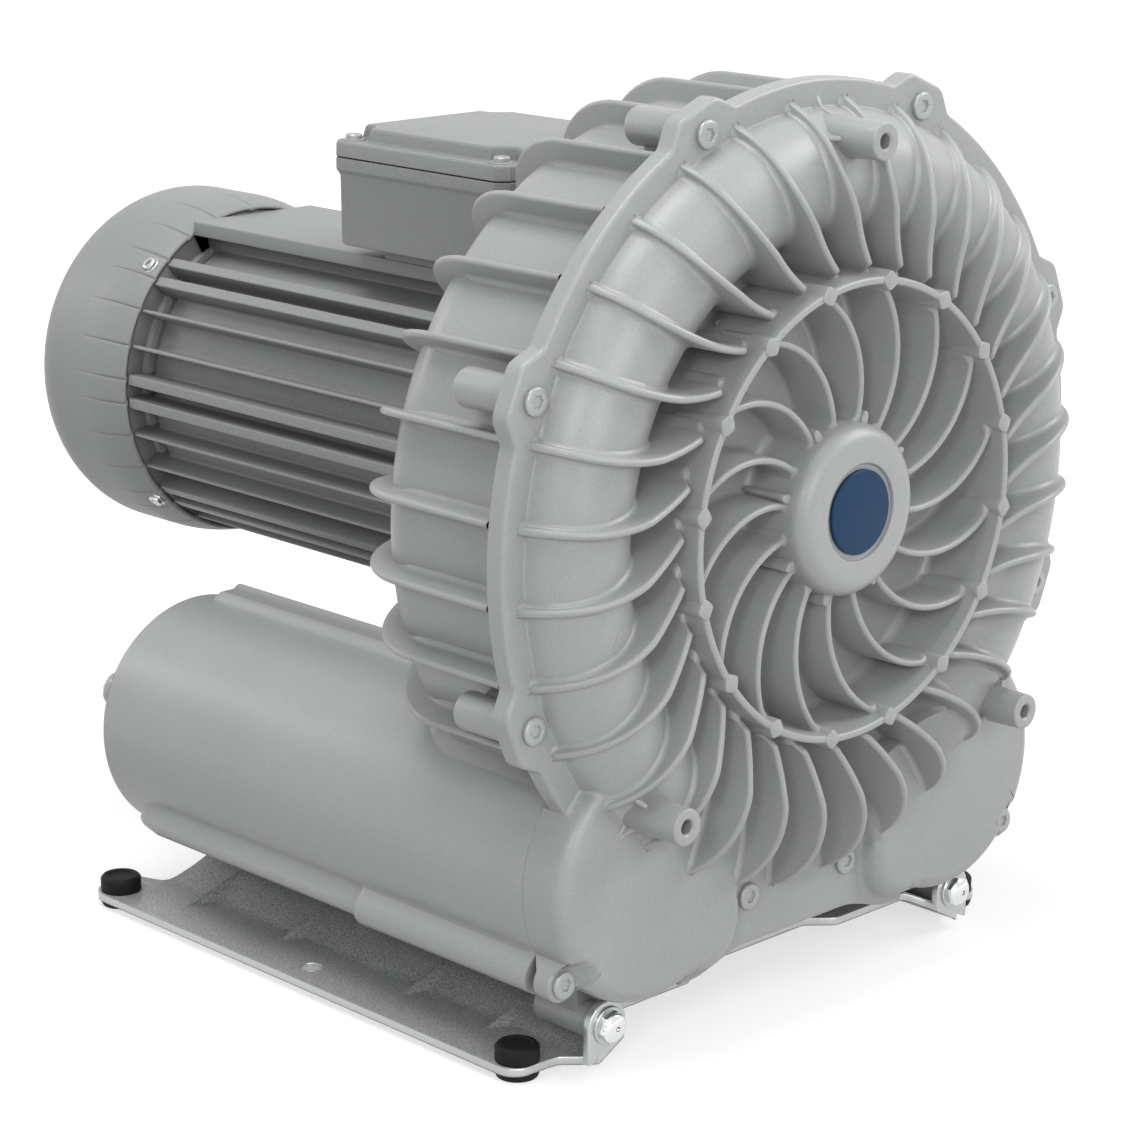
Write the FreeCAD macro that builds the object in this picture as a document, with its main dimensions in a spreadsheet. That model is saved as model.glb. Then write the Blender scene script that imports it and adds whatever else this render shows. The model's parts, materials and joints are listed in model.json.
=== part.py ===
import FreeCAD, Part
import math
import os

import Sketcher

# A side channel blower: a ribbed two-part casing round a vaned wheel, two silencer drums
# below it, a finned motor behind it and a bent steel base on rubber feet.
# Millimetres. Z is up and the floor is Z = 0. Y runs along the shaft from the cover
# to the fan. Pieces are drawn about the shaft axis, with Y = 0 where cover and housing
# meet, and are then set at their place over the floor.

SIZES = {
    # whole machine
    "axis_height": 243.4,      # shaft above the floor
    "seat_gap": 0.05,          # between pieces that seat in each other
    "soft_gap": 0.3,           # between a soft piece and its seat
    # cover and housing, seen from the front
    "flange_radius": 190.0,
    "flange_lip": 7.0,         # flat band outside the channel bulge
    "flange_thickness": 14.6,
    "bolt_circle": 186.0,
    "lug_reach": 8.0,          # lug past the flange
    "lug_half_width": 17.0,
    "screw_radius": 3.0,
    "channel_pitch": 149.0,    # middle of the ring channel
    "channel_radius": 24.0,
    "channel_wall": 5.0,
    "channel_depth": 8.0,      # straight part of the channel on each side
    "ring_radius": 104.0,      # raised ring where the ribs meet
    "ring_width": 3.6,
    "cover_height": 47.0,      # ring and ribs in front of the joint
    "floor_height": 13.5,      # floor inside the ring, in front of the joint
    "floor_wall": 6.0,
    "hub_radius": 39.5,
    "hub_edge": 8.5,           # dome edge behind its face
    "hub_wall": 6.0,
    "badge_radius": 19.5,
    "badge_rim": 2.7,
    "badge_depth": 2.0,
    "rib_width": 3.0,
    "rib_turn_radius": 120.6,  # plan curve of an outer rib
    "rib_straight": 18.0,      # straight start of an outer rib, from the flange
    "inner_rib_bow": 53.6,     # plan curve of an inner rib
    "node_radius": 5.0,
    "standoff_circle": 166.3,
    "standoff_radius": 8.8,
    "standoff_reach": 54.4,
    "standoff_tap": 3.4,
    # housing behind the joint
    "shell_radius": 173.7,
    "shell_length": 87.4,
    "shell_corner": 31.0,
    "fin_height": 12.5,
    "fin_width": 3.6,
    "fin_overhang": 13.6,      # fin behind the shell
    "fin_corner": 44.0,
    "boss_radius": 8.8,
    "boss_length": 27.0,
    "spigot_radius": 88.0,     # housing end that carries the motor
    "housing_length": 99.0,
    "wheel_room": 51.0,        # depth of the chamber that the wheel turns in
    # silencer drums
    "drum_spacing": 206.0,
    "drum_drop": 151.0,        # drum axis below the shaft
    "drum_radius": 60.3,
    "drum_wall": 4.5,
    "drum_length": 302.0,
    "cap_height": 24.0,        # drum front, in front of the joint
    "cap_round": 7.0,
    "port_radius": 28.3,
    "port_flange_radius": 50.0,
    "port_flange_thickness": 12.0,
    "port_collar_length": 12.0,
    "liner_radius": 36.0,
    "liner_wall": 12.0,
    "tube_wall": 1.5,
    # wheel and shaft
    "wheel_radius": 166.0,
    "wheel_width": 49.0,
    "wheel_gap": 1.0,
    "vane_root": 128.0,
    "vane_count": 36,
    "vane_width": 3.0,
    "web_thickness": 9.0,
    "wheel_hub_radius": 26.0,
    "shaft_nose_radius": 11.0,
    "shaft_seal_radius": 12.0,
    "journal_radius": 12.5,
    "shaft_middle_radius": 16.0,
    "shaft_tail_radius": 9.0,
    "key_width": 8.0,
    "key_height": 7.0,
    "seal_radius": 20.0,
    "seal_width": 7.0,
    # bearings
    "bearing_radius": 26.0,
    "bearing_width": 15.0,
    "ball_radius": 3.97,
    "ball_count": 9,
    # motor
    "shield_length": 11.0,     # drive end shield
    "barrel_radius": 75.0,
    "barrel_wall": 5.0,
    "barrel_length": 264.0,
    "fin_tip_radius": 84.8,
    "motor_fin_width": 2.4,
    "rail_width": 4.6,
    "rail_angle": 4.2,
    "pad_half_width": 37.0,
    "pad_height": 83.8,
    "core_length": 120.0,
    "core_start": 60.0,        # core behind the barrel's front
    "air_gap": 0.5,
    "rotor_radius": 41.5,
    "winding_length": 30.0,
    "rear_shield_length": 12.0,
    "cowl_radius": 91.5,
    "cowl_wall": 2.2,
    "cowl_length": 82.7,
    "cowl_corner": 28.0,
    "fan_radius": 70.0,
    "fan_width": 26.0,
    # terminal box
    "box_half_width": 57.0,
    "box_front": 16.0,         # box behind the barrel's front
    "box_length": 117.0,
    "box_wall": 3.5,
    "box_height": 40.0,
    "box_neck": 6.5,
    "lid_thickness": 9.5,
    "lid_crown": 6.5,
    "gasket_thickness": 1.5,
    "gland_radius": 12.5,
    "gland_bore": 8.0,
    # base
    "plate_clear": 3.4,        # plate underside above the floor
    "plate_thickness": 4.0,
    "plate_half_width": 164.5,
    "plate_rise": 14.5,        # raised middle
    "rise_outer": 129.0,
    "rise_inner": 102.0,
    "plate_front": 4.0,
    "plate_rear": 288.0,
    "foot_x": 153.0,
    "foot_front": 14.0,
    "foot_pitch": 290.0,
    "foot_radius": 10.2,
    "foot_height": 15.6,
    "foot_neck": 6.0,
    "fixing_radius": 5.5,
    "fixing_x": 150.3,
    "base_bolt_x": 121.7,
    "base_bolt_drop": 221.0,
    "base_bolt_radius": 4.0,
    "tab_front": 11.4,
}

doc = FreeCAD.newDocument("side_channel_blower")
sheet = doc.addObject("Spreadsheet::Sheet", "Sizes")
for row, (alias, number) in enumerate(SIZES.items(), 1):
    sheet.set(f"A{row}", alias)
    sheet.set(f"B{row}", str(number))
    sheet.setAlias(f"B{row}", alias)
doc.recompute()


class Size:
    """A length as a number, with the sheet expression that gives it."""

    def __init__(self, value, text):
        self.value = float(value)
        self.text = text

    def __add__(self, other):
        other = as_size(other)
        return Size(self.value + other.value, f"({self.text} + {other.text})")

    def __sub__(self, other):
        other = as_size(other)
        return Size(self.value - other.value, f"({self.text} - {other.text})")

    def __mul__(self, other):
        other = as_size(other)
        return Size(self.value * other.value, f"({self.text} * {other.text})")

    def __truediv__(self, other):
        other = as_size(other)
        return Size(self.value / other.value, f"({self.text} / {other.text})")

    def __neg__(self):
        return Size(-self.value, f"(-1 * {self.text})")

    __radd__ = __add__

    def __rsub__(self, other):
        return as_size(other) - self


def as_size(number):
    if isinstance(number, Size):
        return number
    return Size(number, f"({float(number)})")


def cosine(degrees):
    return Size(math.cos(math.radians(degrees)), f"cos({float(degrees)} deg)")


def sine(degrees):
    return Size(math.sin(math.radians(degrees)), f"sin({float(degrees)} deg)")


class Sheet:
    """Every driving size by its own name."""


d = Sheet()
for alias in SIZES:
    setattr(d, alias, Size(sheet.get(alias), f"Sizes.{alias}"))

# Places that several pieces share
ZERO = as_size(0)
cowl_front = d.housing_length + d.shield_length + d.barrel_length + 3.0
cowl_rear = cowl_front + d.cowl_length
joint_y = (d.standoff_reach - cowl_rear) / 2
barrel_front = d.housing_length + d.shield_length
barrel_rear = barrel_front + d.barrel_length
drum_x = d.drum_spacing / 2
skin_radius = d.channel_radius + d.channel_wall
plate_low = d.plate_clear - d.axis_height
plate_top = plate_low + d.plate_thickness
rise_top = plate_top + d.plate_rise
mount_circle = as_size(79.5)
mount_angles = (22.5, 157.5, 202.5, 337.5)
front_bearing_y = d.housing_length + 2.0
rear_bearing_y = barrel_rear + 2.0
pieces = {}


def vector(x, y, z):
    return FreeCAD.Vector(as_size(x).value, as_size(y).value, as_size(z).value)


def keep(piece, name):
    """Names a finished piece and stands it at its place over the floor."""
    piece.Label = name
    piece.setExpression("Placement.Base.y", joint_y.text)
    piece.setExpression("Placement.Base.z", d.axis_height.text)
    pieces[name] = piece
    return piece


def new_body(name):
    return doc.addObject("PartDesign::Body", name + "_body")


def origin_part(body, role):
    for feature in body.Origin.OriginFeatures:
        if feature.Role == role:
            return feature


def new_sketch(body, plane, offset=ZERO, turn=0.0):
    """A sketch on an origin plane of its body, moved along the plane's normal."""
    sketch = body.newObject("Sketcher::SketchObject", body.Name + "_sketch")
    sketch.AttachmentSupport = [(origin_part(body, plane), "")]
    sketch.MapMode = "FlatFace"
    normal = -1 if plane == "XZ_Plane" else 1
    shift = as_size(offset) * normal
    sketch.AttachmentOffset = FreeCAD.Placement(
        FreeCAD.Vector(0, 0, shift.value), FreeCAD.Rotation(FreeCAD.Vector(0, 0, 1), turn))
    sketch.setExpression("AttachmentOffset.Base.z", shift.text)
    return sketch


def pin_point(sketch, geometry, end, x, y):
    """Ties one sketch point to two sheet expressions."""
    for direction, size in (("DistanceX", as_size(x)), ("DistanceY", as_size(y))):
        number = sketch.addConstraint(
            Sketcher.Constraint(direction, -1, 1, geometry, end, size.value))
        sketch.setExpression(f"Constraints[{number}]", size.text)


def trace(sketch, corners):
    """A closed outline. A corner is (x, y), or (x, y, (centre x, centre y, turn)) where an
    arc leads on to the next corner, with turn 1 anticlockwise and -1 clockwise."""
    count = len(corners)
    first = sketch.GeometryCount
    ends = []
    for number, corner in enumerate(corners):
        following = corners[(number + 1) % count]
        start = vector(corner[0], corner[1], 0)
        stop = vector(following[0], following[1], 0)
        if len(corner) == 2:
            sketch.addGeometry(Part.LineSegment(start, stop))
            ends.append((1, 2))
            continue
        centre = vector(corner[2][0], corner[2][1], 0)
        turn = corner[2][2]
        low, high = (start, stop) if turn > 0 else (stop, start)
        circle = Part.Circle(centre, FreeCAD.Vector(0, 0, 1), (start - centre).Length)
        low_angle = math.atan2(low.y - centre.y, low.x - centre.x)
        high_angle = math.atan2(high.y - centre.y, high.x - centre.x)
        if high_angle <= low_angle:
            high_angle += 2 * math.pi
        sketch.addGeometry(Part.ArcOfCircle(circle, low_angle, high_angle))
        ends.append((1, 2) if turn > 0 else (2, 1))
        across = abs(stop.x - start.x) >= abs(stop.y - start.y)
        direction = "DistanceY" if across else "DistanceX"
        size = as_size(corner[2][1] if across else corner[2][0])
        held = sketch.addConstraint(
            Sketcher.Constraint(direction, -1, 1, first + number, 3, size.value))
        sketch.setExpression(f"Constraints[{held}]", size.text)
    for number, corner in enumerate(corners):
        following = (number + 1) % count
        sketch.addConstraint(Sketcher.Constraint(
            "Coincident", first + number, ends[number][1], first + following, ends[following][0]))
        pin_point(sketch, first + number, ends[number][0], corner[0], corner[1])


def add_circle(sketch, x, y, radius):
    radius = as_size(radius)
    number = sketch.addGeometry(
        Part.Circle(vector(x, y, 0), FreeCAD.Vector(0, 0, 1), radius.value))
    held = sketch.addConstraint(Sketcher.Constraint("Radius", number, radius.value))
    sketch.setExpression(f"Constraints[{held}]", radius.text)
    pin_point(sketch, number, 3, x, y)


def turned(name, corners):
    """A body turned about the shaft axis: corners are (radius, y)."""
    body = new_body(name)
    sketch = new_sketch(body, "XY_Plane")
    trace(sketch, corners)
    turn = body.newObject("PartDesign::Revolution", name + "_turn")
    turn.Profile = sketch
    turn.ReferenceAxis = (sketch, ["V_Axis"])
    turn.Angle = 360
    body.Tip = turn
    return body


def add_pad(body, plane, start, length, corners=(), circles=(), turn=0.0):
    """A pad from start towards the plane's far side: +Y, +Z or +X."""
    sketch = new_sketch(body, plane, start, turn)
    if corners:
        trace(sketch, corners)
    for circle in circles:
        add_circle(sketch, *circle)
    pad = body.newObject("PartDesign::Pad", body.Name + "_pad")
    pad.Profile = sketch
    pad.Length = as_size(length).value
    pad.setExpression("Length", as_size(length).text)
    pad.Reversed = plane == "XZ_Plane"
    body.Tip = pad
    return pad


def add_pocket(body, plane, start, length, corners=(), circles=(), turn=0.0):
    """A pocket cut from start towards the plane's far side."""
    doc.recompute()
    before = body.Shape.Volume
    sketch = new_sketch(body, plane, start, turn)
    if corners:
        trace(sketch, corners)
    for circle in circles:
        add_circle(sketch, *circle)
    pocket = body.newObject("PartDesign::Pocket", body.Name + "_pocket")
    pocket.Profile = sketch
    pocket.Length = as_size(length).value
    pocket.setExpression("Length", as_size(length).text)
    pocket.Reversed = plane != "XZ_Plane"
    body.Tip = pocket
    doc.recompute()
    if not body.Shape.Volume < before:
        raise ValueError(f"{pocket.Name} cuts nothing")
    return pocket


def repeat_round(body, features, count, angle=360.0):
    """Copies of features round the shaft axis."""
    pattern = body.newObject("PartDesign::PolarPattern", body.Name + "_round")
    pattern.Originals = list(features)
    pattern.Axis = (origin_part(body, "Y_Axis"), [""])
    pattern.Angle = angle
    pattern.Occurrences = count
    body.Tip = pattern
    doc.recompute()
    return pattern


def padded(name, plane, start, length, corners=(), circles=()):
    body = new_body(name)
    add_pad(body, plane, start, length, corners, circles)
    return body


def round_edges(body, radius, chosen):
    """Rounds the edges of a body that the test picks."""
    doc.recompute()
    names = []
    for number, edge in enumerate(body.Shape.Edges, 1):
        if chosen(edge):
            names.append(f"Edge{number}")
    if not names:
        raise ValueError(f"{body.Name} has no edge to round")
    base = body.Tip
    fillet = body.newObject("PartDesign::Fillet", body.Name + "_round")
    fillet.Base = (base, names)
    fillet.Radius = as_size(radius).value
    body.Tip = fillet
    return fillet


def ring_edge(radius, y):
    """Picks the circular edges of a turned piece at one radius and place."""
    radius = as_size(radius).value
    y = as_size(y).value

    def chosen(edge):
        curve = edge.Curve
        if curve.TypeId != "Part::GeomCircle":
            return False
        return abs(curve.Radius - radius) < 0.01 and abs(curve.Center.y - y) < 0.01
    return chosen


def flat_edge(axis, place):
    """Picks the edges that lie in one plane across an axis."""
    place = as_size(place).value

    def chosen(edge):
        box = edge.BoundBox
        low = getattr(box, axis + "Min")
        high = getattr(box, axis + "Max")
        return abs(low - place) < 0.01 and abs(high - place) < 0.01
    return chosen


def fused(name, parts):
    joined = doc.addObject("Part::MultiFuse", name + "_fuse")
    joined.Shapes = list(parts)
    joined.Refine = True
    return joined


def cut(name, base, tool):
    result = doc.addObject("Part::Cut", name + "_cut")
    result.Base = base
    result.Tool = tool
    result.Refine = True
    return result


def shaped(name, shape):
    """A piece that is worked out as a shape of its own."""
    feature = doc.addObject("Part::Feature", name)
    feature.Shape = shape
    return feature


def spun(shape, angle):
    """A copy turned about the shaft axis, anticlockwise seen from the front."""
    copy = shape.copy()
    copy.rotate(FreeCAD.Vector(0, 0, 0), FreeCAD.Vector(0, -1, 0), angle)
    return copy


def at_angle(radius, degrees):
    """X and Z of a point on a circle about the shaft."""
    return as_size(radius) * cosine(degrees), as_size(radius) * sine(degrees)


# Ribs of the cover

rib_count = 32
rib_step = 360.0 / rib_count
flange_face = -d.flange_thickness
lip_radius = d.flange_radius - d.flange_lip
crown_y = -d.cover_height


def plan_strip(start, middle, end, width, low, high):
    """An upright strip along an arc through three points of the XZ plane, from y low to high."""
    centre = Part.Arc(start, middle, end).toShape().Curve.Center
    sides = []
    for shift in (-width / 2, width / 2):
        moved = []
        for point in (start, middle, end):
            outward = (point - centre).normalize()
            moved.append(point + outward * shift)
        sides.append(moved)
    inner, outer = sides
    edges = [
        Part.Arc(*inner).toShape(),
        Part.LineSegment(inner[2], outer[2]).toShape(),
        Part.Arc(*outer).toShape(),
        Part.LineSegment(outer[0], inner[0]).toShape(),
    ]
    face = Part.Face(Part.Wire(Part.__sortEdges__(edges)))
    face.translate(FreeCAD.Vector(0, low, 0))
    return face.extrude(FreeCAD.Vector(0, high - low, 0))


def arc_point(centre_x, centre_z, radius, angle):
    return FreeCAD.Vector(centre_x + radius * math.cos(angle), 0, centre_z + radius * math.sin(angle))


def rib_envelope(corners):
    """A solid of revolution that holds the ribs' front edges: corners are (radius, y)."""
    edges = []
    for number, corner in enumerate(corners):
        following = corners[(number + 1) % len(corners)]
        start = FreeCAD.Vector(corner[0], corner[1], 0)
        stop = FreeCAD.Vector(following[0], following[1], 0)
        if len(corner) == 3:
            middle = FreeCAD.Vector(corner[2][0], corner[2][1], 0)
            edges.append(Part.Arc(start, middle, stop).toShape())
        else:
            edges.append(Part.LineSegment(start, stop).toShape())
    face = Part.Face(Part.Wire(edges))
    return face.revolve(FreeCAD.Vector(0, 0, 0), FreeCAD.Vector(0, 1, 0), 360)


def outer_rib():
    """A rib from the flange to the ring: straight at first, then an arc in plan."""
    top = crown_y.value
    deep = -7.5
    start_x = lip_radius.value + 1
    bend_x = start_x - d.rib_straight.value + 6
    turn = d.rib_turn_radius.value
    ring = d.ring_radius.value
    # the arc is tangent to the straight start and ends on the ring
    end_angle = math.pi / 2
    step = math.pi / 2
    for _ in range(40):
        step /= 2
        x = bend_x + turn * math.cos(end_angle)
        z = -turn + turn * math.sin(end_angle)
        if math.hypot(x, z) > ring:
            end_angle += step
        else:
            end_angle -= step
    points = []
    for share in (0, 0.5, 1):
        angle = math.pi / 2 + (end_angle - math.pi / 2) * share
        points.append(arc_point(bend_x, -turn, turn, angle))
    width = d.rib_width.value
    curve = plan_strip(points[0], points[1], points[2], width, top - 1, deep)
    straight = Part.makeBox(start_x - bend_x + 0.01, deep - top + 1, width,
                            FreeCAD.Vector(bend_x - 0.01, top - 1, -width / 2))
    return curve.fuse(straight).removeSplitter()


def outer_envelope():
    """Front edge of the outer ribs: up from the flange in an arc, then level to the ring."""
    front = crown_y.value
    peak = d.channel_pitch.value - 13.8
    lip = lip_radius.value
    ring = d.ring_radius.value
    rise = flange_face.value + 2.0 - front
    reach = lip + 1 - peak
    arc_radius = (reach ** 2 + rise ** 2) / (2 * rise)
    half = math.asin(reach / arc_radius) / 2
    middle = (peak + arc_radius * math.sin(half), front + arc_radius * (1 - math.cos(half)))
    return rib_envelope([
        (ring - 1, front + 4.4),
        (peak, front, middle),
        (lip + 1, front + rise),
        (lip + 1, 0.0),
        (ring - 1, 0.0),
    ])


def outer_ribs():
    rib = outer_rib().common(outer_envelope())
    ribs = []
    for number in range(rib_count):
        ribs.append(spun(rib, rib_step * (number + 0.5)))
    return ribs


def inner_rib():
    """A bowed rib from a node of the ring to the hub."""
    bow = d.inner_rib_bow.value
    ring = d.ring_radius.value
    hub = d.hub_radius.value - 4
    centre_x = ring * 0.58
    centre_z = math.sqrt(bow ** 2 - (ring - centre_x) ** 2)
    start = math.atan2(-centre_z, ring - centre_x)
    # the bow ends where it meets the hub
    angle = start
    while True:
        angle -= math.radians(1)
        point = arc_point(centre_x, centre_z, bow, angle)
        if math.hypot(point.x, point.z) < hub or angle < start - math.pi:
            break
    points = [arc_point(centre_x, centre_z, bow, start + (angle - start) * share)
              for share in (0, 0.5, 1)]
    low = crown_y.value
    return plan_strip(points[0], points[1], points[2], d.rib_width.value, low, -d.floor_height.value + 2)


def inner_envelope():
    """Front edge of the inner ribs: a shallow cone from the ring back to the hub."""
    ring = d.ring_radius.value
    hub = d.hub_radius.value - 12
    front = crown_y.value
    return rib_envelope([
        (hub, front + 9.6),
        (ring, front + 5.4),
        (ring, -2.0),
        (hub, -2.0),
    ])


def inner_ribs():
    rib = inner_rib().common(inner_envelope())
    ribs = []
    for number in range(rib_count // 2):
        ribs.append(spun(rib, rib_step * (2 * number + 1.25)))
    return ribs


def ring_nodes():
    """Small pegs on the ring where an inner rib starts."""
    nodes = []
    for number in range(rib_count // 2):
        radius = d.node_radius.value
        corner = d.ring_radius.value
        peg = Part.makeBox(radius * 1.3, d.cover_height.value - 9, radius * 1.3,
                           FreeCAD.Vector(corner - radius * 0.65, crown_y.value, -radius * 0.65))
        peg.rotate(FreeCAD.Vector(corner, 0, 0), FreeCAD.Vector(0, 1, 0), 45)
        nodes.append(spun(peg, rib_step * (2 * number + 1.25)))
    return nodes


def cap_outline(side):
    """Front outline of one drum with its corner towards the middle."""
    x = drum_x * side
    z = -d.drum_drop
    r = d.drum_radius
    upper_x, upper_z = x + r * cosine(45) * side, z + r * sine(45)
    lower_x, lower_z = x - r * cosine(82.8) * side, z - r * sine(82.8)
    corner = drum_x - 38.0
    return [
        (upper_x, upper_z, (x, z, -side)),
        (lower_x, lower_z),
        (lower_x - cosine(7.2) * 30.7 * side, lower_z + sine(7.2) * 30.7),
        ((corner - 18.0) * side, z - r + 18.0),
        ((corner - 18.0) * side, z - 24.0),
        ((corner - 2.0) * side, z + 28.0),
        ((corner + 52.0) * side, z + r - 6.0),
    ]


def front_cover():
    """The ribbed cover: a turned shell, ribs, two drum fronts and the panel between them."""
    ring_out = d.ring_radius + d.ring_width / 2
    ring_in = d.ring_radius - d.ring_width / 2
    channel_y = -d.channel_depth
    drop = d.flange_thickness - d.channel_depth
    skin_edge = d.channel_pitch + Size((skin_radius.value ** 2 - drop.value ** 2) ** 0.5,
                                       f"sqrt({skin_radius.text} ^ 2 - {drop.text} ^ 2)")
    hub_in = d.hub_radius - d.hub_wall
    shell = turned("cover_shell", [
        (ZERO, crown_y),
        (d.hub_radius - 7.0, crown_y),
        (d.hub_radius, crown_y + d.hub_edge),
        (d.hub_radius, -d.floor_height),
        (ring_in - 3.0, -d.floor_height),
        (ring_in, crown_y),
        (ring_out, crown_y),
        (ring_out + 2.0, channel_y),
        (d.channel_pitch - skin_radius, channel_y, (d.channel_pitch, channel_y, 1)),
        (skin_edge, flange_face),
        (d.flange_radius, flange_face),
        (d.flange_radius, ZERO),
        (ZERO, ZERO),
    ])
    round_edges(shell, 4.0, ring_edge(d.hub_radius - 7.0, crown_y))
    lugs = new_body("cover_lugs")
    half = d.lug_half_width
    reach = d.flange_radius + d.lug_reach
    lug = add_pad(lugs, "XZ_Plane", flange_face, d.flange_thickness, [
        (d.flange_radius - 20.0, -half - 6.0),
        (d.flange_radius - 3.0, -half - 6.0),
        (reach, -half + 5.0),
        (reach, half - 5.0),
        (d.flange_radius - 3.0, half + 6.0),
        (d.flange_radius - 20.0, half + 6.0),
    ], turn=-22.5)
    repeat_round(lugs, [lug], 6, 225.0)
    caps = []
    for side, name in ((-1, "left"), (1, "right")):
        cap = padded(f"cover_cap_{name}", "XZ_Plane", -d.cap_height, d.cap_height, cap_outline(side))
        round_edges(cap, d.cap_round, flat_edge("Y", -d.cap_height))
        caps.append(cap)
    low = -d.drum_drop - d.drum_radius
    panel = padded("cover_panel", "XZ_Plane", flange_face, d.flange_thickness, [
        (-drum_x + 20.0, low - 1.0),
        (-drum_x + 71.0, low + 6.5),
        (drum_x - 71.0, low + 6.5),
        (drum_x - 20.0, low - 1.0),
        (drum_x - 20.0, -d.drum_drop + 30.0),
        (-drum_x + 20.0, -d.drum_drop + 30.0),
    ])
    standoffs = new_body("cover_standoffs")
    for number, angle in enumerate((90, 225, 315)):
        x, z = at_angle(d.standoff_circle, angle)
        add_pad(standoffs, "XZ_Plane", -d.standoff_reach, d.standoff_reach - 10.0,
                circles=[(x, z, d.standoff_radius)])
    ribs = [shaped("cover_outer_ribs", Part.makeCompound(outer_ribs())),
            shaped("cover_inner_ribs", Part.makeCompound(inner_ribs())),
            shaped("cover_ring_nodes", Part.makeCompound(ring_nodes()))]
    low_lugs = new_body("cover_low_lugs")
    for x, z, start in low_screw_spots()[:2]:
        add_pad(low_lugs, "XZ_Plane", start, d.flange_thickness, circles=[(x, z, d.boss_radius)])
    hollows = new_body("cover_drum_hollows")
    for side in (-1, 1):
        add_pad(hollows, "XZ_Plane", -d.cap_height + d.drum_wall, d.cap_height - d.drum_wall,
                circles=[(drum_x * side, -d.drum_drop, d.drum_radius - d.drum_wall)])
    fronts = cut("cover_drum_fronts", fused("cover_drums", [caps[0], caps[1], panel]), hollows)
    whole = fused("cover", [shell, lugs, fronts, standoffs, low_lugs] + ribs)
    chamber = turned("cover_chamber", [
        (ZERO, crown_y + d.hub_wall),
        (hub_in - 4.0, crown_y + d.hub_wall),
        (hub_in, crown_y + d.hub_edge + 2.0),
        (hub_in, -d.floor_height + d.floor_wall),
        (d.ring_radius - 8.0, -d.floor_height + d.floor_wall),
        (d.ring_radius - 8.0, ZERO),
        (ZERO, ZERO),
    ])
    channel = turned("cover_channel", [
        (d.channel_pitch - d.channel_radius, ZERO),
        (d.channel_pitch - d.channel_radius, channel_y, (d.channel_pitch, channel_y, 1)),
        (d.channel_pitch + d.channel_radius, channel_y),
        (d.channel_pitch + d.channel_radius, ZERO),
    ])
    holes = new_body("cover_holes")
    add_pad(holes, "XZ_Plane", crown_y - 1.0, d.badge_depth + 1.0,
            circles=[(ZERO, ZERO, d.badge_radius + d.badge_rim)])
    for angle in (90, 225, 315):
        x, z = at_angle(d.standoff_circle, angle)
        add_pad(holes, "XZ_Plane", -d.standoff_reach - 1.0, as_size(19.0), circles=[(x, z, d.standoff_tap)])
    x, z = at_angle(d.bolt_circle, -22.5)
    screw = add_pad(holes, "XZ_Plane", flange_face - 1.0, d.flange_thickness + 2.0,
                    circles=[(x, z, d.screw_radius + 0.3)])
    repeat_round(holes, [screw], 6, 225.0)
    low_spots = low_screw_spots()
    for x, z, start in low_spots:
        add_pad(holes, "XZ_Plane", start - 1.0, -start + 2.0, circles=[(x, z, d.screw_radius + 0.3)])
    for x, z, start in low_spots[:2]:
        add_pad(holes, "XZ_Plane", -d.cap_height - 1.0, start + d.cap_height + 1.0,
                circles=[(x, z, as_size(6.8))])
    cavity = fused("cover_hollow", [chamber, channel, holes])
    keep(cut("front_cover", whole, cavity), "front_cover")
    badge = turned("hub_badge", [
        (ZERO, crown_y + d.badge_depth),
        (ZERO, crown_y + d.badge_depth - 1.6),
        (d.badge_radius, crown_y + d.badge_depth - 1.6),
        (d.badge_radius, crown_y + d.badge_depth),
    ])
    keep(badge, "hub_badge")


def low_screw_spots():
    """Screws round the drum fronts: x, z and the face that the head rests on."""
    drop = -d.drum_drop
    out = (d.drum_radius + 4.2) * cosine(39)
    down = drop - (d.drum_radius + 4.2) * sine(39)
    return [
        (-drum_x - out, down, flange_face),
        (drum_x + out, down, flange_face),
        (as_size(-34.0), drop - 31.0, flange_face),
        (as_size(34.0), drop - 31.0, flange_face),
    ]


def port_screw_spots(x, z):
    spots = []
    for angle in (67, 157, 247, 337):
        spots.append((x + (d.drum_radius + 1.0) * cosine(angle), z + (d.drum_radius + 1.0) * sine(angle)))
    return spots


def cover_screws():
    """Pan head screws of the flange and of the drum fronts, as one group."""
    screws = new_body("cover_screws")
    x, z = at_angle(d.bolt_circle, -22.5)
    shank = add_pad(screws, "XZ_Plane", flange_face, d.flange_thickness + 16.0,
                    circles=[(x, z, d.screw_radius - 0.05)])
    head = add_pad(screws, "XZ_Plane", flange_face - 3.3, as_size(3.3),
                   circles=[(x, z, d.screw_radius * 2 + 0.1)])
    repeat_round(screws, [shank, head], 6, 225.0)
    for x, z, start in low_screw_spots():
        add_pad(screws, "XZ_Plane", start, -start + 16.0, circles=[(x, z, d.screw_radius - 0.05)])
        add_pad(screws, "XZ_Plane", start - 3.3, as_size(3.3), circles=[(x, z, d.screw_radius * 2 + 0.1)])
    keep(screws, "cover_screws")


front_cover()
cover_screws()


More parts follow.
